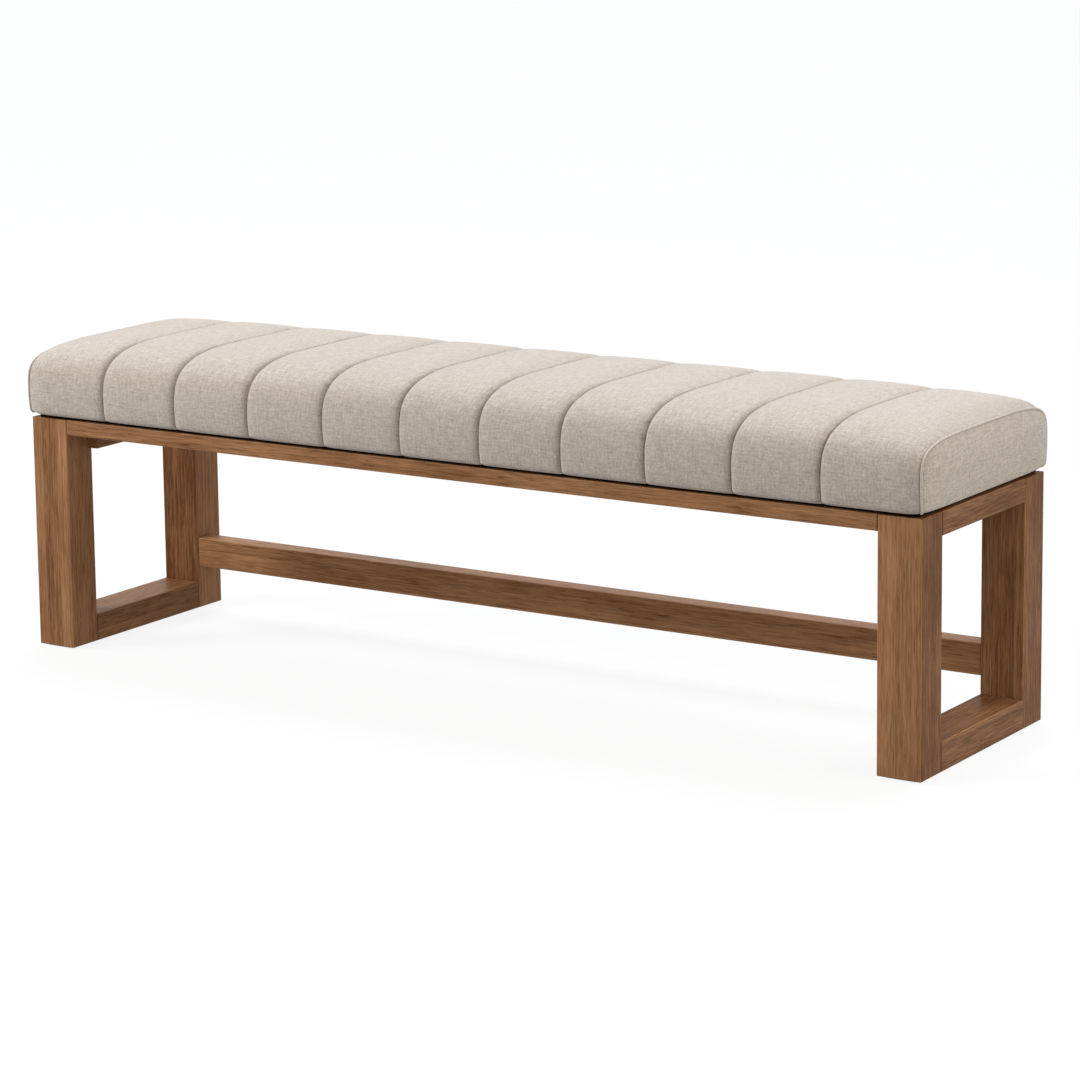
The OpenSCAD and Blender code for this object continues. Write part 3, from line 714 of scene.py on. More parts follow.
def new_piece(name: str, points: np.ndarray, faces: list[tuple[int, ...]],
              weave: np.ndarray | None = None) -> bpy.types.Object:
    """Makes a smooth mesh object in the scene.

    Args:
        name: the piece's name.
        points: its vertices as rows.
        faces: its faces as tuples of vertex numbers.
        weave: a flat place of each vertex in metres, for the weave map.

    Returns:
        The object, which sits at the origin.
    """
    mesh = bpy.data.meshes.new(name)
    mesh.from_pydata(points.reshape(-1, 3).tolist(), [], faces)
    mesh.shade_smooth()
    if weave is not None:
        layer = mesh.uv_layers.new(name=WEAVE_MAP)
        corners = np.zeros(len(mesh.loops), np.int32)
        mesh.loops.foreach_get("vertex_index", corners)
        layer.data.foreach_set("uv", weave.reshape(-1, 2)[corners].astype(np.float32).ravel())
    piece = bpy.data.objects.new(name, mesh)
    bpy.context.scene.collection.objects.link(piece)
    return piece


def places(mesh: bpy.types.Mesh) -> np.ndarray:
    """Reads a mesh's vertices.

    Args:
        mesh: the mesh.

    Returns:
        Their places as rows.
    """
    flat = np.zeros(len(mesh.vertices) * 3, np.float32)
    mesh.vertices.foreach_get("co", flat)
    return flat.reshape(-1, 3).astype(float)


def set_places(mesh: bpy.types.Mesh, points: np.ndarray) -> None:
    """Moves a mesh's vertices to new places."""
    mesh.vertices.foreach_set("co", points.astype(np.float32).ravel())
    mesh.update()


def settle(piece: bpy.types.Object) -> None:
    """Turns a piece with its live modifiers into a plain mesh.

    Args:
        piece: the piece, whose modifiers are cleared.
    """
    graph = bpy.context.evaluated_depsgraph_get()
    made = bpy.data.meshes.new_from_object(piece.evaluated_get(graph), depsgraph=graph)
    made.name = piece.name
    piece.modifiers.clear()
    piece.data = made


def subdivide(piece: bpy.types.Object, creased: np.ndarray | None = None) -> None:
    """Subdivides a piece once.

    Args:
        piece: the piece.
        creased: True at the vertices between which edges stay sharp.
    """
    if creased is not None:
        mesh = piece.data
        ends = np.zeros(len(mesh.edges) * 2, np.int32)
        mesh.edges.foreach_get("vertices", ends)
        sharp = creased[ends.reshape(-1, 2)].all(axis=1)
        crease = mesh.attributes.new("crease_edge", "FLOAT", "EDGE")
        crease.data.foreach_set("value", sharp.astype(np.float32))
    modifier = piece.modifiers.new("Subdivision", "SUBSURF")
    modifier.levels = 1
    modifier.render_levels = 1
    settle(piece)


def thicken(piece: bpy.types.Object, thickness: float) -> None:
    """Gives a sheet its thickness, inwards from its outer face.

    Args:
        piece: the sheet.
        thickness: its thickness in metres.
    """
    modifier = piece.modifiers.new("Thickness", "SOLIDIFY")
    modifier.thickness = thickness
    modifier.offset = -1.0
    modifier.use_even_offset = False
    settle(piece)


def recalculate_normals(piece: bpy.types.Object) -> None:
    """Turns the faces of a closed piece outwards.

    Args:
        piece: the closed piece.
    """
    work = bmesh.new()
    work.from_mesh(piece.data)
    bmesh.ops.recalc_face_normals(work, faces=work.faces)
    work.to_mesh(piece.data)
    work.free()


@dataclass(frozen=True)
class Filling:
    """Short cloth simulation that fills a sewn sheet with its padding."""

    pressure: float = 4.0
    frames: int = 20
    slack: float = 0.0008
    stiffness: float = 12.0
    bending: float = 0.6
    mass: float = 0.3
    quality: int = 6
    cap: float = 0.0028

    def run(self, piece: bpy.types.Object, held: np.ndarray) -> None:
        """Simulates the sheet and keeps the result in its mesh.

        Args:
            piece: the sheet, as sewn.
            held: 1 at each vertex that a seam or staple holds, and 0 where it is free.
        """
        start = places(piece.data)
        group = piece.vertex_groups.new(name="held")
        for index in np.flatnonzero(held > 0):
            group.add([int(index)], float(held[index]), "REPLACE")
        modifier = piece.modifiers.new("Filling", "CLOTH")
        cloth = modifier.settings
        cloth.vertex_group_mass = "held"
        cloth.quality = self.quality
        cloth.mass = self.mass
        cloth.tension_stiffness = self.stiffness
        cloth.compression_stiffness = self.stiffness
        cloth.shear_stiffness = self.stiffness / 3
        cloth.bending_stiffness = self.bending
        cloth.use_pressure = True
        cloth.uniform_pressure_force = self.pressure
        cloth.shrink_min = -self.slack
        cloth.effector_weights.gravity = 0.0
        modifier.collision_settings.use_collision = False
        modifier.point_cache.frame_end = self.frames
        scene = bpy.context.scene
        for number in range(1, self.frames + 1):
            scene.frame_set(number)
        graph = bpy.context.evaluated_depsgraph_get()
        moved = places(piece.evaluated_get(graph).data)
        piece.modifiers.remove(modifier)
        piece.vertex_groups.clear()
        scene.frame_set(1)
        step = moved - start
        length = np.linalg.norm(step, axis=1, keepdims=True)
        step *= np.minimum(1.0, self.cap / np.maximum(length, 1e-9))
        LOG.info("%s filled: moved %.1f mm at most", piece.name, 1000 * length.max())
        set_places(piece.data, start + step)


# Cushion


@dataclass(frozen=True)
class CushionForm:
    """Sizes of the cushion and the curves that its pieces share."""

    base_z: float
    cover_end: float
    half_depth: float = 0.1865
    swell: float = 0.001
    mid_height: float = 0.033
    end_height: float = 0.092
    crown: float = 0.012
    crown_power: float = 10.0
    tuck: float = 0.0025
    base_radius: float = 0.007
    hem_width: float = 0.029
    channels: int = 11
    end_extra: float = 0.010
    roll: float = 0.0025
    roll_reach: float = 0.026
    bank: float = 0.0043
    bank_reach: float = 0.011
    crease: float = 0.0027
    crease_reach: float = 0.0026
    end_reach: float = 0.026
    end_wall: float = 0.0018
    turn_reach: float = 0.012
    drop: float = 0.0020
    seam_power: float = 2.5
    middle_power: float = 3.6
    end_power: float = 4.5
    turn_angle_deg: float = 85.0
    side_points: int = 24
    arch_points: int = 240

    @property
    def mid_z(self) -> float:
        """Height of the widest line."""
        return self.base_z + self.mid_height

    @property
    def end_rise(self) -> float:
        """Rise from the widest line to the top of the end seams."""
        return self.end_height - self.mid_height

    @property
    def puff(self) -> float:
        """Rise of a channel's middle over its seams."""
        return self.roll + self.bank + self.crease

    @property
    def pitch(self) -> float:
        """Width of an inner channel."""
        return 2 * (self.cover_end - self.end_extra) / self.channels

    def seam_x(self, number: int) -> float:
        """Places a seam along the bench.

        Args:
            number: the seam, counted from the left end.

        Returns:
            Its place.
        """
        if number == 0:
            return -self.cover_end
        if number == self.channels:
            return self.cover_end
        return (number - self.channels / 2) * self.pitch

    def puff_at(self, x: float, gap: float) -> float:
        """Tells how far a channel puffs out.

        Args:
            x: place along the bench.
            gap: distance to the nearer seam.

        Returns:
            The puff in metres.
        """
        if math.isclose(self.cover_end - abs(x), gap, abs_tol=1e-6):
            wall = self.end_wall * math.sqrt(1 - (1 - min(1.0, gap / self.end_wall)) ** 2)
            return wall + (self.puff - self.end_wall) * (1 - (1 - min(1.0, gap / self.end_reach)) ** 2)
        rise = 0.0
        for size, reach in ((self.roll, self.roll_reach), (self.bank, self.bank_reach),
                            (self.crease, self.crease_reach)):
            left = 1 - min(1.0, gap / reach)
            rise += size * math.sqrt(1 - left ** 2)
        return rise

    def turned_in(self, x: np.ndarray, z: np.ndarray) -> np.ndarray:
        """Draws in the ends of the cushion where they turn under it.

        Args:
            x: places along the bench.
            z: their heights.

        Returns:
            The places, drawn in.
        """
        low = np.clip((self.base_z + self.base_radius - z) / self.base_radius, 0, 1)
        near = np.clip(1 - (self.cover_end - np.abs(x)) / self.turn_reach, 0, 1)
        return x - np.sign(x) * near * self.base_radius * (1 - np.sqrt(1 - low ** 2))

    def fullness(self, x: float, power: float) -> float:
        """Returns 1 at the middle of the bench and 0 at its ends."""
        return 1 - min(1.0, abs(x) / self.cover_end) ** power

    def power_at(self, x: float, gap: float) -> float:
        """Tells how square the section is.

        Args:
            x: place along the bench.
            gap: distance to the nearer seam.

        Returns:
            The power of the section's rounded arch.
        """
        last = self.seam_x(self.channels - 1)
        share = max(0.0, (abs(x) - last) / (self.cover_end - last))
        full = self.puff_at(x, gap) / self.puff
        own = self.seam_power + (self.middle_power - self.seam_power) * full
        return own + (self.end_power - own) * share ** 2

    def half_section(self, half: float, rise: float, power: float, puff: float, inset: float,
                     steps: tuple[int, int, int]) -> np.ndarray:
        """Makes the back half of a section, from the hem's edge to the top's middle.

        Args:
            half: half depth at the widest line, without the puff.
            rise: rise of the top above that line, without the puff.
            power: how square the section is.
            puff: outward puff of the channel.
            inset: distance inwards of the outer face.
            steps: steps along the hem, the turned edge and the rest.

        Returns:
            Points (y, z) as rows.
        """
        hem_steps, turn_steps, arch_steps = steps
        radius = self.base_radius - inset
        turn_y = half - self.tuck - self.base_radius
        turn_z = self.base_z + self.base_radius
        hem_y = np.linspace(turn_y - self.hem_width, turn_y - self.tuck, hem_steps + 1)
        hem = np.stack([hem_y, np.full(hem_steps + 1, turn_z - radius)], axis=1)
        angle = np.radians(np.linspace(self.turn_angle_deg, 0, turn_steps + 1))
        low = radius + self.drop * puff / self.puff
        turn = np.stack([turn_y + (radius + puff) * np.cos(angle), turn_z - low * np.sin(angle)], axis=1)
        up = np.linspace(0, 1, self.side_points)[1:]
        side = np.stack([half - inset + puff - self.tuck * (1 - up) ** 2,
                         turn_z + up * (self.mid_z - turn_z)], axis=1)
        round_angle = np.radians(np.linspace(0, 90, self.arch_points))[1:]
        arch = np.stack([(half + puff - inset) * np.cos(round_angle) ** (2 / power),
                         self.mid_z + (rise + puff - inset) * np.sin(round_angle) ** (2 / power)], axis=1)
        upper = resampled(np.concatenate([turn[-1:], side, arch]), arch_steps)
        return np.concatenate([hem, turn, upper[1:]])

    def section(self, x: float, gap: float, inset: float, steps: tuple[int, int, int]) -> np.ndarray:
        """Makes the whole section of the cover at a place, from the back hem to the front hem.

        Args:
            x: place along the bench.
            gap: distance to the nearer seam.
            inset: distance inwards of the outer face.
            steps: steps along the hem, the turned edge and the rest of each half.

        Returns:
            Points (x, y, z) as rows.
        """
        half = self.half_depth + self.swell * self.fullness(x, 2)
        rise = self.end_rise + self.crown * self.fullness(x, self.crown_power)
        back = self.half_section(half, rise, self.power_at(x, gap), self.puff_at(x, gap), inset, steps)
        front = back[-2::-1] * (-1, 1)
        flat = np.concatenate([back, front])
        return np.column_stack([np.full(len(flat), x), flat])


@dataclass
class ChannelledCover:
    """The cover in sewn channels, with the stitches in its seams."""

    form: CushionForm
    gaps: tuple[float, ...] = (0.0, 0.0006, 0.0015, 0.0028, 0.0050, 0.0085, 0.014, 0.023, 0.036, 0.050)
    steps: tuple[int, int, int] = (2, 4, 20)
    thickness: float = 0.0016
    hold_excess: float = 1.4
    hold_reach: float = 0.0034
    pucker: float = 0.00022
    pucker_reach: float = 0.010
    pucker_wave: float = 0.011
    pucker_swell: float = 0.037
    pucker_turn: float = 0.12
    pucker_phase: float = 1.7
    swell_phase: float = 2.1
    stitch_lift: float = 0.0002
    stitch_pitch: float = 0.0042
    stitch_length: float = 0.0034
    stitch_radius: float = 0.00028

    def stations(self) -> list[tuple[float, float]]:
        """Places the rings of the sheet.

        Returns:
            Pairs of a ring's place and its distance to the nearer seam.
        """
        found = []
        for channel in range(self.form.channels):
            start, end = self.form.seam_x(channel), self.form.seam_x(channel + 1)
            found += [(start + gap, gap) for gap in self.gaps]
            found.append(((start + end) / 2, (end - start) / 2))
            found += [(end - gap, gap) for gap in self.gaps[:0:-1]]
        return found + [(self.form.cover_end, 0.0)]

    def build(self) -> bpy.types.Object:
        """Builds, fills and dresses the cover.

        Returns:
            The piece.
        """
        stations = self.stations()
        points = np.array([self.form.section(x, gap, 0.0, self.steps) for x, gap in stations])
        points[..., 0] = self.form.turned_in(points[..., 0], points[..., 2])
        rows, columns = points.shape[:2]
        climb = np.broadcast_to(lengths_along(points).mean(axis=0), (rows, columns))
        weave = np.stack([points[..., 0], climb], axis=2)
        gaps = np.array([[gap] * columns for _, gap in stations])
        low = self.steps[0] + self.steps[1]
        held = np.clip(self.hold_excess - gaps / self.hold_reach, 0, 1)
        held[:, :low] = 1
        held[:, -low:] = 1
        cover = new_piece("channelled_cover_cloth", points, grid_faces(rows, columns, False), weave)
        Filling().run(cover, held.ravel())
        subdivide(cover, gaps.ravel() == 0)
        self.pucker_seams(cover)
        thicken(cover, self.thickness)
        cover.data.materials.append(COVER_LINEN.material("linen cover"))
        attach(cover, BODY)
        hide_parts("channelled_cover")
        return cover

    def pucker_seams(self, cover: bpy.types.Object) -> None:
        """Ripples the cloth a little beside each seam, where the thread draws it in.

        Args:
            cover: the filled and subdivided sheet.
        """
        mesh = cover.data
        points = places(mesh)
        normals = np.zeros(len(mesh.vertices) * 3, np.float32)
        mesh.vertices.foreach_get("normal", normals)
        seams = np.array([self.form.seam_x(i) for i in range(self.form.channels + 1)])
        away = points[:, :1] - seams
        nearest = np.abs(away).argmin(axis=1)
        gap = np.abs(away).min(axis=1)
        lean = np.arctan2(points[:, 2] - self.form.mid_z, points[:, 1])
        around = lean * self.pucker_turn + points[:, 1]
        phase = nearest * self.pucker_phase
        ripple = (np.sin(around * 2 * math.pi / self.pucker_wave + phase)
                  * np.sin(around * 2 * math.pi / self.pucker_swell + self.swell_phase * phase))
        fade = (gap / self.pucker_reach) * np.exp(1 - gap / self.pucker_reach)
        rise = self.pucker * ripple * np.where(gap < 6 * self.pucker_reach, fade, 0)
        set_places(mesh, points + normals.reshape(-1, 3) * rise[:, None])

    def build_stitches(self) -> bpy.types.Object:
        """Lays a row of stitches in the bottom of each channel seam.

        Returns:
            The piece.
        """
        hem = self.steps[0]
        lines = [self.form.section(self.form.seam_x(i), 0.0, -self.stitch_lift, self.steps)[hem:-hem]
                 for i in range(1, self.form.channels)]
        # The thread's dark colour is painted shade along the seams.
        stitches = ThreadRow(self.stitch_pitch, self.stitch_length, self.stitch_radius).build(
            "channel_stitches", lines, SHADE_DARK_SEAM_THREAD.material())
        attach(stitches, BODY)
        return stitches


def curve_piece(name: str, lines: Sequence[np.ndarray]) -> bpy.types.Object:
    """Makes a curve object in the scene.

    Args:
        name: the object's name.
        lines: lines of points, each made an open spline.

    Returns:
        The curve object.
    """
    curve = bpy.data.curves.new(name, "CURVE")
    curve.dimensions = "3D"
    for line in lines:
        spline = curve.splines.new("POLY")
        spline.points.add(len(line) - 1)
        spline.points.foreach_set("co", np.column_stack([line, np.ones(len(line))]).ravel())
    piece = bpy.data.objects.new(name, curve)
    bpy.context.scene.collection.objects.link(piece)
    return piece


class GeometryTree:
    """A Geometry Nodes tree with named inputs, run once on a curve."""

    def __init__(self, name: str, inputs: dict[str, str]) -> None:
        """Starts the tree.

        Args:
            name: the tree's name.
            inputs: socket types by input name, besides the geometry.
        """
        self.tree = bpy.data.node_groups.new(name, "GeometryNodeTree")
        face = self.tree.interface
        face.new_socket(name="Geometry", in_out="INPUT", socket_type="NodeSocketGeometry")
        for label, kind in inputs.items():
            face.new_socket(name=label, in_out="INPUT", socket_type=f"NodeSocket{kind}")
        face.new_socket(name="Geometry", in_out="OUTPUT", socket_type="NodeSocketGeometry")
        self.build = ShaderBuilder(self.tree)
        self.given = {s.name: s for s in self.build.node("NodeGroupInput").outputs if s.name}

    def finish(self, geometry: bpy.types.NodeSocket, material: bpy.types.Material) -> None:
        """Ends the tree in Realize Instances and Set Material.

        Args:
            geometry: what the tree made.
            material: its material.
        """
        real = self.build.node("GeometryNodeRealizeInstances", Geometry=geometry)
        painted = self.build.node("GeometryNodeSetMaterial", Geometry=real.outputs[0], Material=material)
        self.build.node("NodeGroupOutput", Geometry=painted.outputs[0])

    def run(self, piece: bpy.types.Object, values: dict[str, float]) -> bpy.types.Object:
        """Runs the tree on a curve object, which is then removed.

        Args:
            piece: the curve object.
            values: the inputs' values by name.

        Returns:
            The result as a plain mesh object of the same name.
        """
        modifier = piece.modifiers.new(self.tree.name, "NODES")
        modifier.node_group = self.tree
        for item in self.tree.interface.items_tree:
            if item.item_type == "SOCKET" and item.in_out == "INPUT" and item.name in values:
                modifier[item.identifier] = values[item.name]
        graph = bpy.context.evaluated_depsgraph_get()
        mesh = bpy.data.meshes.new_from_object(piece.evaluated_get(graph), depsgraph=graph)
        name = piece.name
        bpy.data.objects.remove(piece)
        made = bpy.data.objects.new(name, mesh)
        bpy.context.scene.collection.objects.link(made)
        return made


@dataclass(frozen=True)
class ThreadRow:
    """Rows of short stitches along lines."""

    pitch: float
    length: float
    radius: float

    def build(self, name: str, lines: Sequence[np.ndarray],
              material: bpy.types.Material) -> bpy.types.Object:
        """Builds every row as one mesh.

        Args:
            name: the piece's name.
            lines: the rows' lines of points.
            material: the thread's material.

        Returns:
            The piece.
        """
        nodes = GeometryTree("stitch row", {"Pitch": "Float", "Length": "Float", "Radius": "Float"})
        build = nodes.build
        line = build.node("GeometryNodeResampleCurve", {"mode": "LENGTH"}, Curve=nodes.given["Geometry"],
                          Length=nodes.given["Pitch"])
        bead = build.node("GeometryNodeMeshUVSphere", Segments=8, Rings=6, Radius=1.0)
        half = build.math("MULTIPLY", nodes.given["Length"], 0.5)
        size = build.combined(nodes.given["Radius"], nodes.given["Radius"], half)
        tangent = build.node("GeometryNodeInputTangent")
        turn = build.node("FunctionNodeAlignRotationToVector", {"axis": "Z"}, Vector=tangent.outputs[0])
        stitches = build.node("GeometryNodeInstanceOnPoints", Points=line.outputs[0],
                              Instance=bead.outputs[0], Rotation=turn.outputs[0], Scale=size)
        smooth = build.node("GeometryNodeSetShadeSmooth", Geometry=stitches.outputs[0])
        nodes.finish(smooth.outputs[0], material)
        return nodes.run(curve_piece(name, lines), {
            "Pitch": self.pitch, "Length": self.length, "Radius": self.radius})


@dataclass
class EndPanel:
    """The bulged panel that closes one end of the cushion, and its welt."""

    form: CushionForm
    side: Side
    start_x: float
    welt_x: float
    rim: float = 0.0016
    rim_powers: tuple[int, int] = (40, 14)
    bulge: float = 0.005
    bulge_powers: tuple[float, float] = (7, 2.6)
    bulge_height: float = 1.55
    columns: int = 44
    rows: int = 18
    turn_rows: int = 3
    hem_rows: int = 3
    hem_half: float = 0.147
    hem_width: float = 0.024
    thickness: float = 0.0012
    weave_shift: float = 0.013
    seam_inset: float = 0.0009
    welt_radius: float = 0.0018
    welt_rise: float = 0.0006
    welt_reach: float = 0.0010
    welt_sides: int = 14
    welt_steps: tuple[int, int, int] = (1, 6, 60)
    welt_tail: int = 3

    def outline(self) -> tuple[np.ndarray, np.ndarray, np.ndarray]:
        """Lays out the panel's edge.

        Returns:
            Its bottom, right side and top, as (y, z) rows.
        """
        form = self.form
        half = form.half_depth - self.seam_inset
        turn_z = form.base_z + form.base_radius
        foot = half - form.tuck
        up = np.linspace(0, 1, 24)
        side = np.stack([half - form.tuck * (1 - up) ** 2, turn_z + up * (form.mid_z - turn_z)], axis=1)
        angle = np.radians(np.linspace(0, 180, 721))
        power = 2 / form.end_power
        arch = np.stack([half * np.sign(np.cos(angle)) * np.abs(np.cos(angle)) ** power,
                         form.mid_z + (form.end_rise - self.seam_inset) * np.sin(angle) ** power], axis=1)
        slope = np.abs(np.diff(arch[:, 1])) < np.abs(np.diff(arch[:, 0]))
        corner = int(np.argmax(slope))
        right = np.concatenate([side, arch[1:corner + 1]])
        top = arch[corner:len(arch) - corner]
        bottom = np.array([[foot, turn_z], [-foot, turn_z]])
        return resampled(bottom, self.columns), resampled(right, self.rows), resampled(top, self.columns)

    def sheet(self) -> tuple[np.ndarray, np.ndarray]:
        """Lays out the panel's sheet.

        Returns:
            Its points in rows from the hem up to the top seam, and where they are held.
        """
        bottom, right, top = self.outline()
        left = right * (-1, 1)
        s = np.linspace(0, 1, self.columns + 1)[None, :, None]
        t = np.linspace(0, 1, self.rows + 1)[:, None, None]
        flat = ((1 - t) * bottom[None] + t * top[None] + (1 - s) * right[:, None] + s * left[:, None]
                - (1 - s) * (1 - t) * bottom[0] - s * (1 - t) * bottom[-1]
                - (1 - s) * t * top[0] - s * t * top[-1])
        across, up = np.abs(2 * s[..., 0] - 1), t[..., 0]
        lift = np.abs(up * self.bulge_height - (self.bulge_height - 1)).clip(0, 1)
        swell = self.bulge * (1 - across ** self.bulge_powers[0]) * (1 - lift ** self.bulge_powers[1])
        rim = self.rim * np.sqrt((1 - across ** self.rim_powers[0]) * (1 - up ** self.rim_powers[1]))
        depth = self.start_x + swell + rim
        main = np.concatenate([depth[..., None], flat], axis=2)
        form = self.form
        foot = main[0]
        share = foot[:, 1:2] / max(foot[:, 1])
        under = []
        for angle in np.radians(np.linspace(0, 90, self.turn_rows + 1))[1:]:
            reach = foot[:, :1] - form.base_radius * (1 - math.cos(angle))
            width = foot[0, 1] - form.base_radius * (1 - math.cos(angle))
            height = np.full_like(reach, form.base_z + form.base_radius * (1 - math.sin(angle)))
            under.append(np.concatenate([reach, share * width, height], axis=1))
        edge = under[-1]
        for step in range(1, self.hem_rows + 1):
            part = step / self.hem_rows
            width = edge[0, 1] + (self.hem_half - edge[0, 1]) * min(1.0, 2 * part)
            row = edge.copy()
            row[:, 0] = edge[:, 0] * (1 - part) + part * (self.start_x - self.hem_width)
            row[:, 1] = share[:, 0] * width
            under.append(row)
        points = np.concatenate([np.array(under[::-1]), main])
        held = np.zeros(points.shape[:2])
        held[:len(under) + 1] = 1
        for edge_points in (held[-1], held[:, 0], held[:, -1]):
            edge_points[:] = 1
        return points, held

    def build(self) -> bpy.types.Object:
        """Builds, fills and dresses the panel.

        Returns:
            The piece.
        """
        points, held = self.sheet()
        sign = self.side.value
        points[..., 0] *= sign
        climb = lengths_along(points.transpose(1, 0, 2)).T
        weave = np.stack([points[..., 1], climb + self.weave_shift], axis=2)
        rows, columns = points.shape[:2]
        name = f"{self.side.name.lower()}_end_panel"
        panel = new_piece(f"{name}_cloth", points, grid_faces(rows, columns, sign > 0), weave)
        Filling(pressure=3.0, cap=0.0015).run(panel, held.ravel())
        subdivide(panel)
        thicken(panel, self.thickness)
        panel.data.materials.append(PANEL_LINEN.material(f"linen {name}"))
        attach(panel, BODY)
        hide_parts(name)
        return panel

    def build_welt(self) -> bpy.types.Object:
        """Builds the thin corded welt in the seam round the panel.

        Returns:
            The piece.
        """
        form = self.form
        section = form.section(form.cover_end, 0.0, -self.welt_rise, self.welt_steps)
        section = section[self.welt_tail:-self.welt_tail]
        section[:, 0] = self.side.value * (self.welt_x + self.welt_reach)
        section[:, 2] = np.maximum(section[:, 2], form.base_z + self.welt_radius)
        section[:, 0] = form.turned_in(section[:, 0], section[:, 2])
        name = f"{self.side.name.lower()}_end_welt"
        nodes = GeometryTree("welt", {"Radius": "Float"})
        build = nodes.build
        run = build.node("GeometryNodeSplineParameter")
        ring = build.node("GeometryNodeCurvePrimitiveCircle", Resolution=self.welt_sides,
                          Radius=nodes.given["Radius"])
        captures = []
        for label, curve in (("Along", nodes.given["Geometry"]), ("Around", ring.outputs[0])):
            capture = build.node("GeometryNodeCaptureAttribute", {"domain": "POINT"}, Geometry=curve)
            capture.capture_items.new("FLOAT", label)
            build.feed(capture.inputs[label], run.outputs["Length"])
            captures.append(capture)
        line, girth = captures
        tube = build.node("GeometryNodeCurveToMesh", Curve=line.outputs[0], Profile_Curve=girth.outputs[0])
        tube.inputs["Fill Caps"].default_value = True
        spot = build.combined(girth.outputs["Around"], line.outputs["Along"], 0.0)
        stored = build.node("GeometryNodeStoreNamedAttribute", {"data_type": "FLOAT2", "domain": "CORNER"},
                            Geometry=tube.outputs[0], Name=WEAVE_MAP, Value=spot)
        smooth = build.node("GeometryNodeSetShadeSmooth", Geometry=stored.outputs[0])
        # The cord's lighter cloth is a painted highlight along the welt.
        nodes.finish(smooth.outputs[0], LIT_CORD_LINEN.material(f"linen {name}"))
        welt = nodes.run(curve_piece(f"{name}_cord", [section]), {"Radius": self.welt_radius})
        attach(welt, BODY)
        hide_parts(name)
        return welt


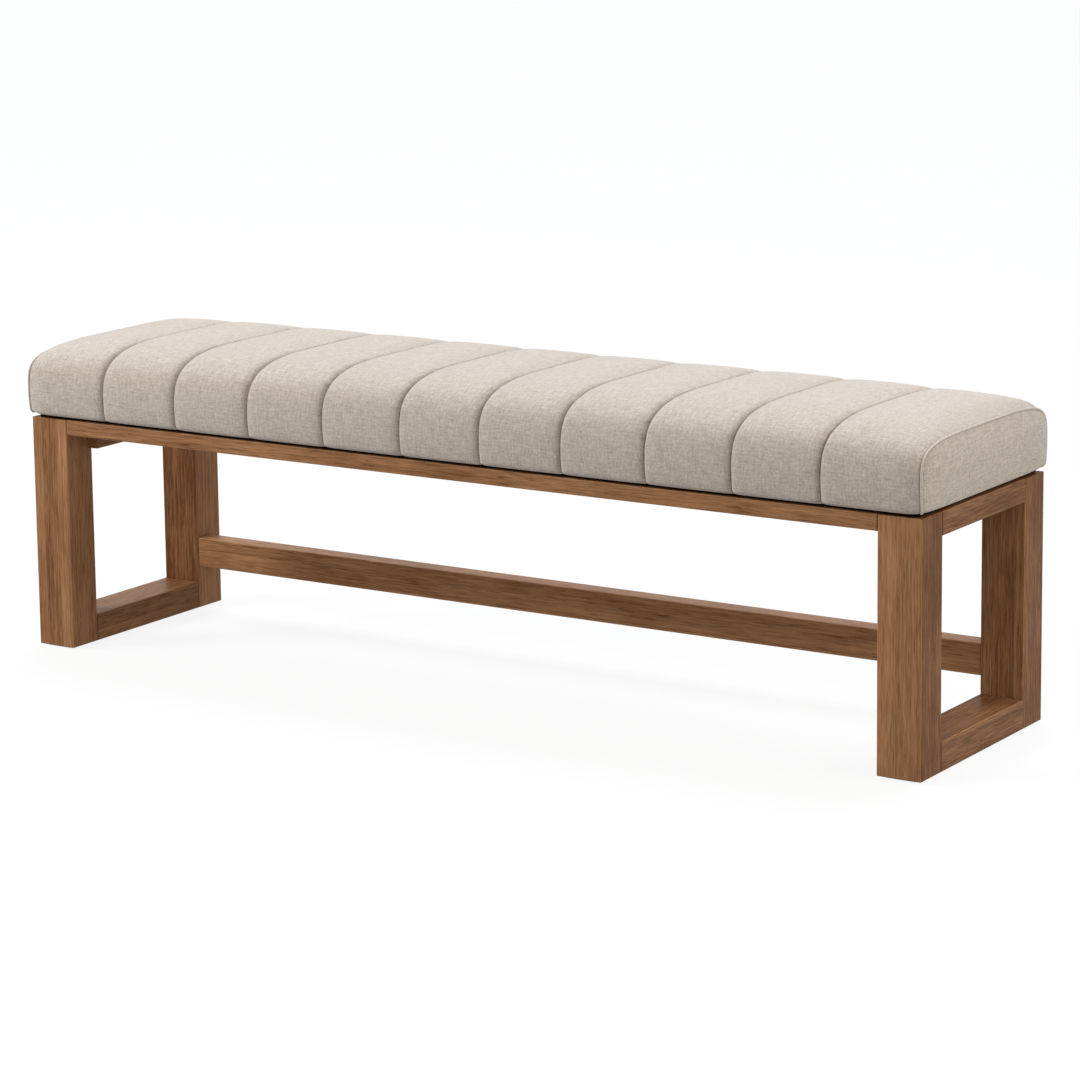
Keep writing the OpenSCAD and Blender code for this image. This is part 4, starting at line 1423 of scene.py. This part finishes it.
@dataclass
class SeatCore:
    """Foam, wadding and dust cover of the seat, which lie on and under its plywood board."""

    form: CushionForm
    core_end: float
    cover_gap: float = 0.0025
    wadding_thickness: float = 0.006
    wadding_slack: float = 0.0006
    wadding_lump: float = 0.0004
    clearance: float = 0.0003
    sag: float = 0.0022
    sag_pitch: float = 0.332
    sag_share: float = 0.25
    sag_margin: float = 0.03
    sag_powers: tuple[int, int] = (8, 4)
    dust_inset: float = 0.0001
    dust_thickness: float = 0.0004
    dust_steps: tuple[int, int] = (120, 30)
    stations: int = 60
    steps: int = 40

    def arch(self, inset: float, bottom: float) -> np.ndarray:
        """Makes a section from the back bottom over the top to the front bottom.

        Args:
            inset: distance inwards of the cushion's outline.
            bottom: height of its foot.

        Returns:
            Points (y, z) as rows.
        """
        form = self.form
        angle = np.radians(np.linspace(0, 180, 361))
        power = 2 / form.seam_power
        across = np.sign(np.cos(angle)) * np.abs(np.cos(angle)) ** power
        top = np.stack([(form.half_depth - inset) * across,
                        form.mid_z + (form.end_rise - inset) * np.sin(angle) ** power], axis=1)
        foot = form.half_depth - inset - form.tuck
        return resampled(np.concatenate([[[foot, bottom]], top, [[-foot, bottom]]]), self.steps)

    def loft(self, name: str, sections: np.ndarray) -> bpy.types.Object:
        """Joins sections along X into a closed solid.

        Args:
            name: the piece's name.
            sections: the sections' points.

        Returns:
            The piece.
        """
        rows, columns = sections.shape[:2]
        faces = grid_faces(rows, columns, False)
        for start in range(0, (rows - 1) * columns, columns):
            faces.append((start, start + columns - 1, start + 2 * columns - 1, start + columns))
        faces.append(tuple(range(columns))[::-1])
        faces.append(tuple(range((rows - 1) * columns, rows * columns)))
        piece = new_piece(name, sections, faces)
        recalculate_normals(piece)
        return piece

    def places_along(self) -> np.ndarray:
        """Returns the sections' places along the bench."""
        return np.linspace(-self.core_end, self.core_end, self.stations + 1)

    def build_foam(self) -> bpy.types.Object:
        """Builds the foam block, crowned a little under the wadding.

        Returns:
            The piece.
        """
        inset = self.cover_gap + self.wadding_thickness + self.clearance
        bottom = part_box("seat_board")[1].z
        sections = np.array([np.column_stack([np.full(self.steps + 1, x), self.arch(inset, bottom)])
                             for x in self.places_along()])
        foam = self.loft("foam_block", sections)
        foam.data.materials.append(FOAM.material())
        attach(foam, BODY)
        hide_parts("foam_core")
        return foam

    def build_wadding(self) -> bpy.types.Object:
        """Builds the wadding that is wrapped round the foam.

        Returns:
            The piece.
        """
        bottom = self.form.base_z + self.form.base_radius
        rng = np.random.default_rng(7)
        xs = self.places_along()
        lumps = rng.uniform(-1, 1, (len(xs), self.steps + 1))
        sections = []
        for x, lump in zip(xs, lumps):
            line = self.arch(self.cover_gap + self.wadding_slack, bottom)
            away = line - np.array([0.0, self.form.mid_z])
            away /= np.linalg.norm(away, axis=1, keepdims=True)
            line = line + self.wadding_lump * lump[:, None] * away
            sections.append(np.column_stack([np.full(self.steps + 1, x), line]))
        points = np.array(sections)
        wadding = new_piece("wadding_layer", points, grid_faces(len(xs), self.steps + 1, False))
        thicken(wadding, self.wadding_thickness - self.wadding_slack - self.wadding_lump)
        wadding.data.materials.append(WADDING.material())
        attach(wadding, BODY)
        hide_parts("wadding_wrap")
        return wadding

    def build_dust_cover(self) -> bpy.types.Object:
        """Builds the black cloth under the seat, which sags a little between its staples.

        Returns:
            The piece.
        """
        low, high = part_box("dust_cover")
        xs = np.linspace(low.x, high.x, self.dust_steps[0] + 1)
        ys = np.linspace(low.y, high.y, self.dust_steps[1] + 1)
        grid_x, grid_y = np.meshgrid(xs, ys, indexing="ij")
        inner_x, inner_y = (
            np.clip(1 - (np.abs(grid) / (end - self.sag_margin)) ** power, 0, 1)
            for grid, end, power in zip((grid_x, grid_y), (high.x, high.y), self.sag_powers))
        wave = 1 - self.sag_share + self.sag_share * np.cos(grid_x * 2 * math.pi / self.sag_pitch)
        sag = self.sag * inner_x * inner_y * wave
        points = np.stack([grid_x, grid_y, high.z - self.dust_inset - sag], axis=2)
        cloth = new_piece("dust_cloth", points, grid_faces(len(xs), len(ys), True), points[..., :2])
        thicken(cloth, self.dust_thickness)
        cloth.data.materials.append(DUST_CLOTH.material())
        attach(cloth, BODY)
        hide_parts("dust_cover")
        return cloth


@dataclass
class Cushion:
    """The whole cushion: cover, end panels, welts, stitches and core."""

    end_overlap: float = 0.0012
    panel_depth: float = 0.0064

    def build(self) -> None:
        """Builds every piece of the cushion."""
        low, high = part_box("channelled_cover")
        form = CushionForm(base_z=low.z, cover_end=high.x + self.end_overlap)
        cover = ChannelledCover(form)
        report(cover.build())
        report(cover.build_stitches())
        for side in Side:
            word = side.name.lower()
            panel_low, panel_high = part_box(f"{word}_end_panel")
            welt_low, welt_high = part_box(f"{word}_end_welt")
            outer = max(abs(panel_low.x), abs(panel_high.x))
            panel = EndPanel(form, side, start_x=outer - self.panel_depth,
                             welt_x=abs(welt_low.x + welt_high.x) / 2)
            report(panel.build())
            report(panel.build_welt())
        core = SeatCore(form, core_end=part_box("foam_core")[1].x)
        report(core.build_foam())
        report(core.build_wadding())
        report(core.build_dust_cover())


# Frame


@dataclass(frozen=True)
class Member:
    """One wooden member of the frame: its node and how it was cut."""

    node: str
    grain: Axis
    strips: Axis
    tone: float
    # Painted light and shade on the faces that look along X, lighter where positive and darker where
    # negative.
    side_light_and_shade: float = 0.0
    free_end: float = 0.0


@dataclass
class WoodenFrame:
    """Stained end frames, rails, stretcher and seat supports."""

    stain: WoodFinish
    first_seed: float = 1.37
    seed_step: float = 2.61
    # Tones and side values were set to how bright each piece looks under these lamps, so they carry painted
    # light and shade: the low tone of back_left_post paints the shade under the seat.
    members: tuple[Member, ...] = (
        Member("front_left_post", Axis.Z, Axis.X, 0.46, -0.01),
        Member("front_right_post", Axis.Z, Axis.X, 0.61, -0.50),
        Member("back_left_post", Axis.Z, Axis.X, 0.10, 0.62),
        Member("back_right_post", Axis.Z, Axis.X, 0.42, -0.28),
        Member("left_foot_rail", Axis.Y, Axis.Z, 0.46),
        Member("right_foot_rail", Axis.Y, Axis.Z, 0.08, 0.16),
        Member("left_end_rail", Axis.Y, Axis.X, 0.46),
        Member("right_end_rail", Axis.Y, Axis.X, 0.18),
        Member("front_rail", Axis.X, Axis.Y, 0.56),
        Member("back_rail", Axis.X, Axis.Y, 0.50),
        Member("rear_stretcher", Axis.X, Axis.Z, 0.66),
        Member("left_seat_bearer", Axis.Y, Axis.X, 0.48, free_end=0.003),
        Member("right_seat_bearer", Axis.Y, Axis.X, 0.48, free_end=0.003),
        Member("left_cross_rail", Axis.Y, Axis.X, 0.48),
        Member("inner_left_cross_rail", Axis.Y, Axis.X, 0.46),
        Member("inner_right_cross_rail", Axis.Y, Axis.X, 0.50),
        Member("right_cross_rail", Axis.Y, Axis.X, 0.47),
    )

    def dress(self) -> None:
        """Gives every member its own cut of the stained wood."""
        for number, member in enumerate(self.members):
            seed = self.first_seed + self.seed_step * number
            wear(member.node, self.stain.material(
                member.node, member.grain, member.strips, member.tone, seed,
                member.side_light_and_shade, member.free_end))


@dataclass
class Fixings:
    """Blocks, dowels, screws, bolts, nuts, staples, strips and pads."""

    beech: WoodFinish
    tone: float = 0.6
    first_seed: float = 5.3
    seed_step: float = 1.9
    beech_nodes: tuple[tuple[str, Axis, Axis], ...] = (
        ("end_frame_dowels", Axis.Y, Axis.X),
        ("long_rail_dowels", Axis.X, Axis.Y),
        ("stretcher_dowels", Axis.X, Axis.Z),
        ("cross_rail_dowels", Axis.Y, Axis.X),
        ("front_left_corner_block", Axis.X, Axis.Y),
        ("front_right_corner_block", Axis.X, Axis.Y),
        ("back_left_corner_block", Axis.X, Axis.Y),
        ("back_right_corner_block", Axis.X, Axis.Y),
    )

    def dress(self) -> None:
        """Gives every fixing its finish."""
        for number, (node, grain, strips) in enumerate(self.beech_nodes):
            seed = self.first_seed + self.seed_step * number
            wear(node, self.beech.material(node, grain, strips, self.tone, seed))
        spacers = tuple(f"{place}_spacer_strip" for place in ("front", "back", "left", "right"))
        pads = tuple(f"{place}_floor_pad"
                     for place in ("front_left", "front_right", "back_left", "back_right"))
        steel = ("bearer_screws", "corner_block_screws", "seat_bolts", "bolt_washers", "tee_nuts",
                 "cover_staples", "dust_cover_staples")
        for finish, nodes in ((ZINC, steel), (FELT, pads), (BLACK_STRIP, spacers + ("bolt_spacers",))):
            for node in nodes:
                wear(node, finish.material())


def wear(node: str, material: bpy.types.Material) -> None:
    """Puts a material on a CAD node.

    Args:
        node: the node's name.
        material: the material.
    """
    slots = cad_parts[node].data.materials
    slots.clear()
    slots.append(material)
    LOG.info("%s wears %s", node, material.name)


def report(piece: bpy.types.Object) -> None:
    """Logs a piece that was built."""
    LOG.info("%s: %d faces", piece.name, len(piece.data.polygons))


# Studio

COOL = (0.94, 1.00, 1.12)
WARM = (1.01, 1.00, 0.98)
AMBER = (1.02, 0.96, 0.87)


@dataclass(frozen=True)
class StudioCamera:
    """The camera at the photograph's viewing angle."""

    place: Triple = (2.8471, -4.3130, 1.3421)
    yaw: float = 0.5760
    pitch: float = 0.1714
    roll: float = -0.0118
    lens_mm: float = 121.76
    shift_y: float = -0.15

    def build(self) -> None:
        """Makes the camera and sets it as the scene's."""
        level = Vector((math.cos(self.yaw), math.sin(self.yaw), 0))
        forward = Vector((-math.sin(self.yaw), math.cos(self.yaw), 0))
        ahead = forward * math.cos(self.pitch) - Vector((0, 0, math.sin(self.pitch)))
        above = level.cross(ahead)
        right = math.cos(self.roll) * level + math.sin(self.roll) * above
        up = -math.sin(self.roll) * level + math.cos(self.roll) * above
        data = bpy.data.cameras.new("photo camera")
        data.lens = self.lens_mm
        data.shift_y = self.shift_y
        data.clip_end = 200.0
        camera = bpy.data.objects.new("photo_camera", data)
        turn = Matrix((right, up, -ahead)).transposed().to_4x4()
        camera.matrix_world = Matrix.Translation(self.place) @ turn
        bpy.context.scene.collection.objects.link(camera)
        bpy.context.scene.camera = camera


def hang_lamp(data: bpy.types.Light, tint: Sequence[float], place: Sequence[float],
              aim: Vector) -> None:
    """Puts a lamp in the scene.

    Args:
        data: the lamp.
        tint: its colour.
        place: where it hangs.
        aim: direction from what it lights to the lamp.
    """
    data.color = tint
    lamp = bpy.data.objects.new(data.name, data)
    lamp.location = place
    lamp.rotation_mode = "QUATERNION"
    lamp.rotation_quaternion = aim.to_track_quat("Z", "Y")
    bpy.context.scene.collection.objects.link(lamp)


@dataclass(frozen=True)
class Sun:
    """A soft lamp far away, by the direction that it shines from."""

    name: str
    source: Triple
    level: float
    spread_deg: float
    tint: Triple

    def build(self) -> None:
        """Makes the lamp. Its level is what a white surface that faces it gives back."""
        data = bpy.data.lights.new(self.name, "SUN")
        data.energy = self.level * math.pi
        data.angle = math.radians(self.spread_deg)
        hang_lamp(data, self.tint, (0.0, 0.0, 0.0), Vector(self.source))


@dataclass(frozen=True)
class SoftLamp:
    """A square lamp near the bench, aimed at the middle of its seat."""

    name: str
    place: Triple
    size: float
    level: float
    tint: Triple
    target: Triple = (0.0, 0.0, 0.35)

    def build(self) -> None:
        """Makes the lamp. Its level is what a white surface that faces it gives back at the seat."""
        aim = Vector(self.place) - Vector(self.target)
        data = bpy.data.lights.new(self.name, "AREA")
        data.shape = "SQUARE"
        data.size = self.size
        data.energy = self.level * math.pi ** 2 * aim.length_squared
        hang_lamp(data, self.tint, self.place, aim)


@dataclass
class Studio:
    """Floor, background and lamps of a plain pale studio."""

    ambient: float = 0.34
    floor_albedo: float = 0.13
    floor_bounce: float = 0.25
    floor_half: float = 30.0
    floor_drop: float = 0.0002
    lamps: tuple[Sun | SoftLamp, ...] = (
        Sun("key lamp", (-0.10, 0.50, 0.86), 0.61, 40.0, COOL),
        Sun("right fill lamp", (0.95, -0.28, 0.15), 0.14, 60.0, AMBER),
        SoftLamp("right lamp", (2.7, 0.0, 1.45), 1.2, 0.24, AMBER),
        SoftLamp("front lamp", (-3.9, -3.0, 3.0), 1.8, 0.67, WARM),
    )

    def build(self) -> None:
        """Builds the studio."""
        for lamp in self.lamps:
            lamp.build()
        self.build_world()
        self.build_floor()
        bpy.context.scene.view_settings.view_transform = "Standard"

    def background_rays(self, build: ShaderBuilder) -> bpy.types.NodeSocket:
        """Tells the rays that see the background: straight, in gloss or through glass.

        Args:
            build: the builder of the material or the world.

        Returns:
            1 for such a ray and 0 for the others.
        """
        path = build.node("ShaderNodeLightPath").outputs
        straight = build.math("MAXIMUM", path["Is Camera Ray"], path["Is Transmission Ray"])
        return build.math("MAXIMUM", straight, path["Is Glossy Ray"])

    def build_world(self) -> None:
        """Makes a white background that lights the object at a plain level."""
        world = bpy.data.worlds.new("studio")
        bpy.context.scene.world = world
        build = fresh_tree(world)
        strength = build.math("ADD", self.ambient, build.math(
            "MULTIPLY", self.background_rays(build), 1.0 - self.ambient))
        sky = build.node("ShaderNodeBackground", Color=(1, 1, 1, 1), Strength=strength)
        build.node("ShaderNodeOutputWorld", Surface=sky.outputs[0])

    def build_floor(self) -> None:
        """Makes the pale floor, which keeps the object's shadow."""
        half = self.floor_half
        corners = [(x * half, y * half, -self.floor_drop) for x, y in ((-1, -1), (1, -1), (1, 1), (-1, 1))]
        floor = new_piece("studio_floor", np.array(corners), [(0, 1, 2, 3)])
        material = bpy.data.materials.new("pale floor")
        build = fresh_tree(material)
        albedo = self.floor_albedo
        matt = build.node("ShaderNodeBsdfDiffuse", Color=(albedo, albedo, albedo, 1))
        seen = build.math("MULTIPLY", self.background_rays(build), 1.0 - albedo - self.floor_bounce)
        strength = build.math("ADD", seen, self.floor_bounce)
        glow = build.node("ShaderNodeEmission", Color=(1, 1, 1, 1), Strength=strength)
        both = build.node("ShaderNodeAddShader")
        build.feed(both.inputs[0], matt.outputs[0])
        build.feed(both.inputs[1], glow.outputs[0])
        build.node("ShaderNodeOutputMaterial", Surface=both.outputs[0])
        floor.data.materials.append(material)


def main() -> None:
    """Builds and dresses the bench and its studio."""
    logging.basicConfig(level=logging.INFO, format="%(message)s")
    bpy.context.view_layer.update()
    StudioCamera().build()
    Studio().build()
    WoodenFrame(STAIN).dress()
    Fixings(BEECH).dress()
    wear("seat_board", BIRCH_PLY.material("seat_board", Axis.X, Axis.Z, 0.55, 4.0))
    Cushion().build()
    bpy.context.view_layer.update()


if __name__ == "__main__":
    main()
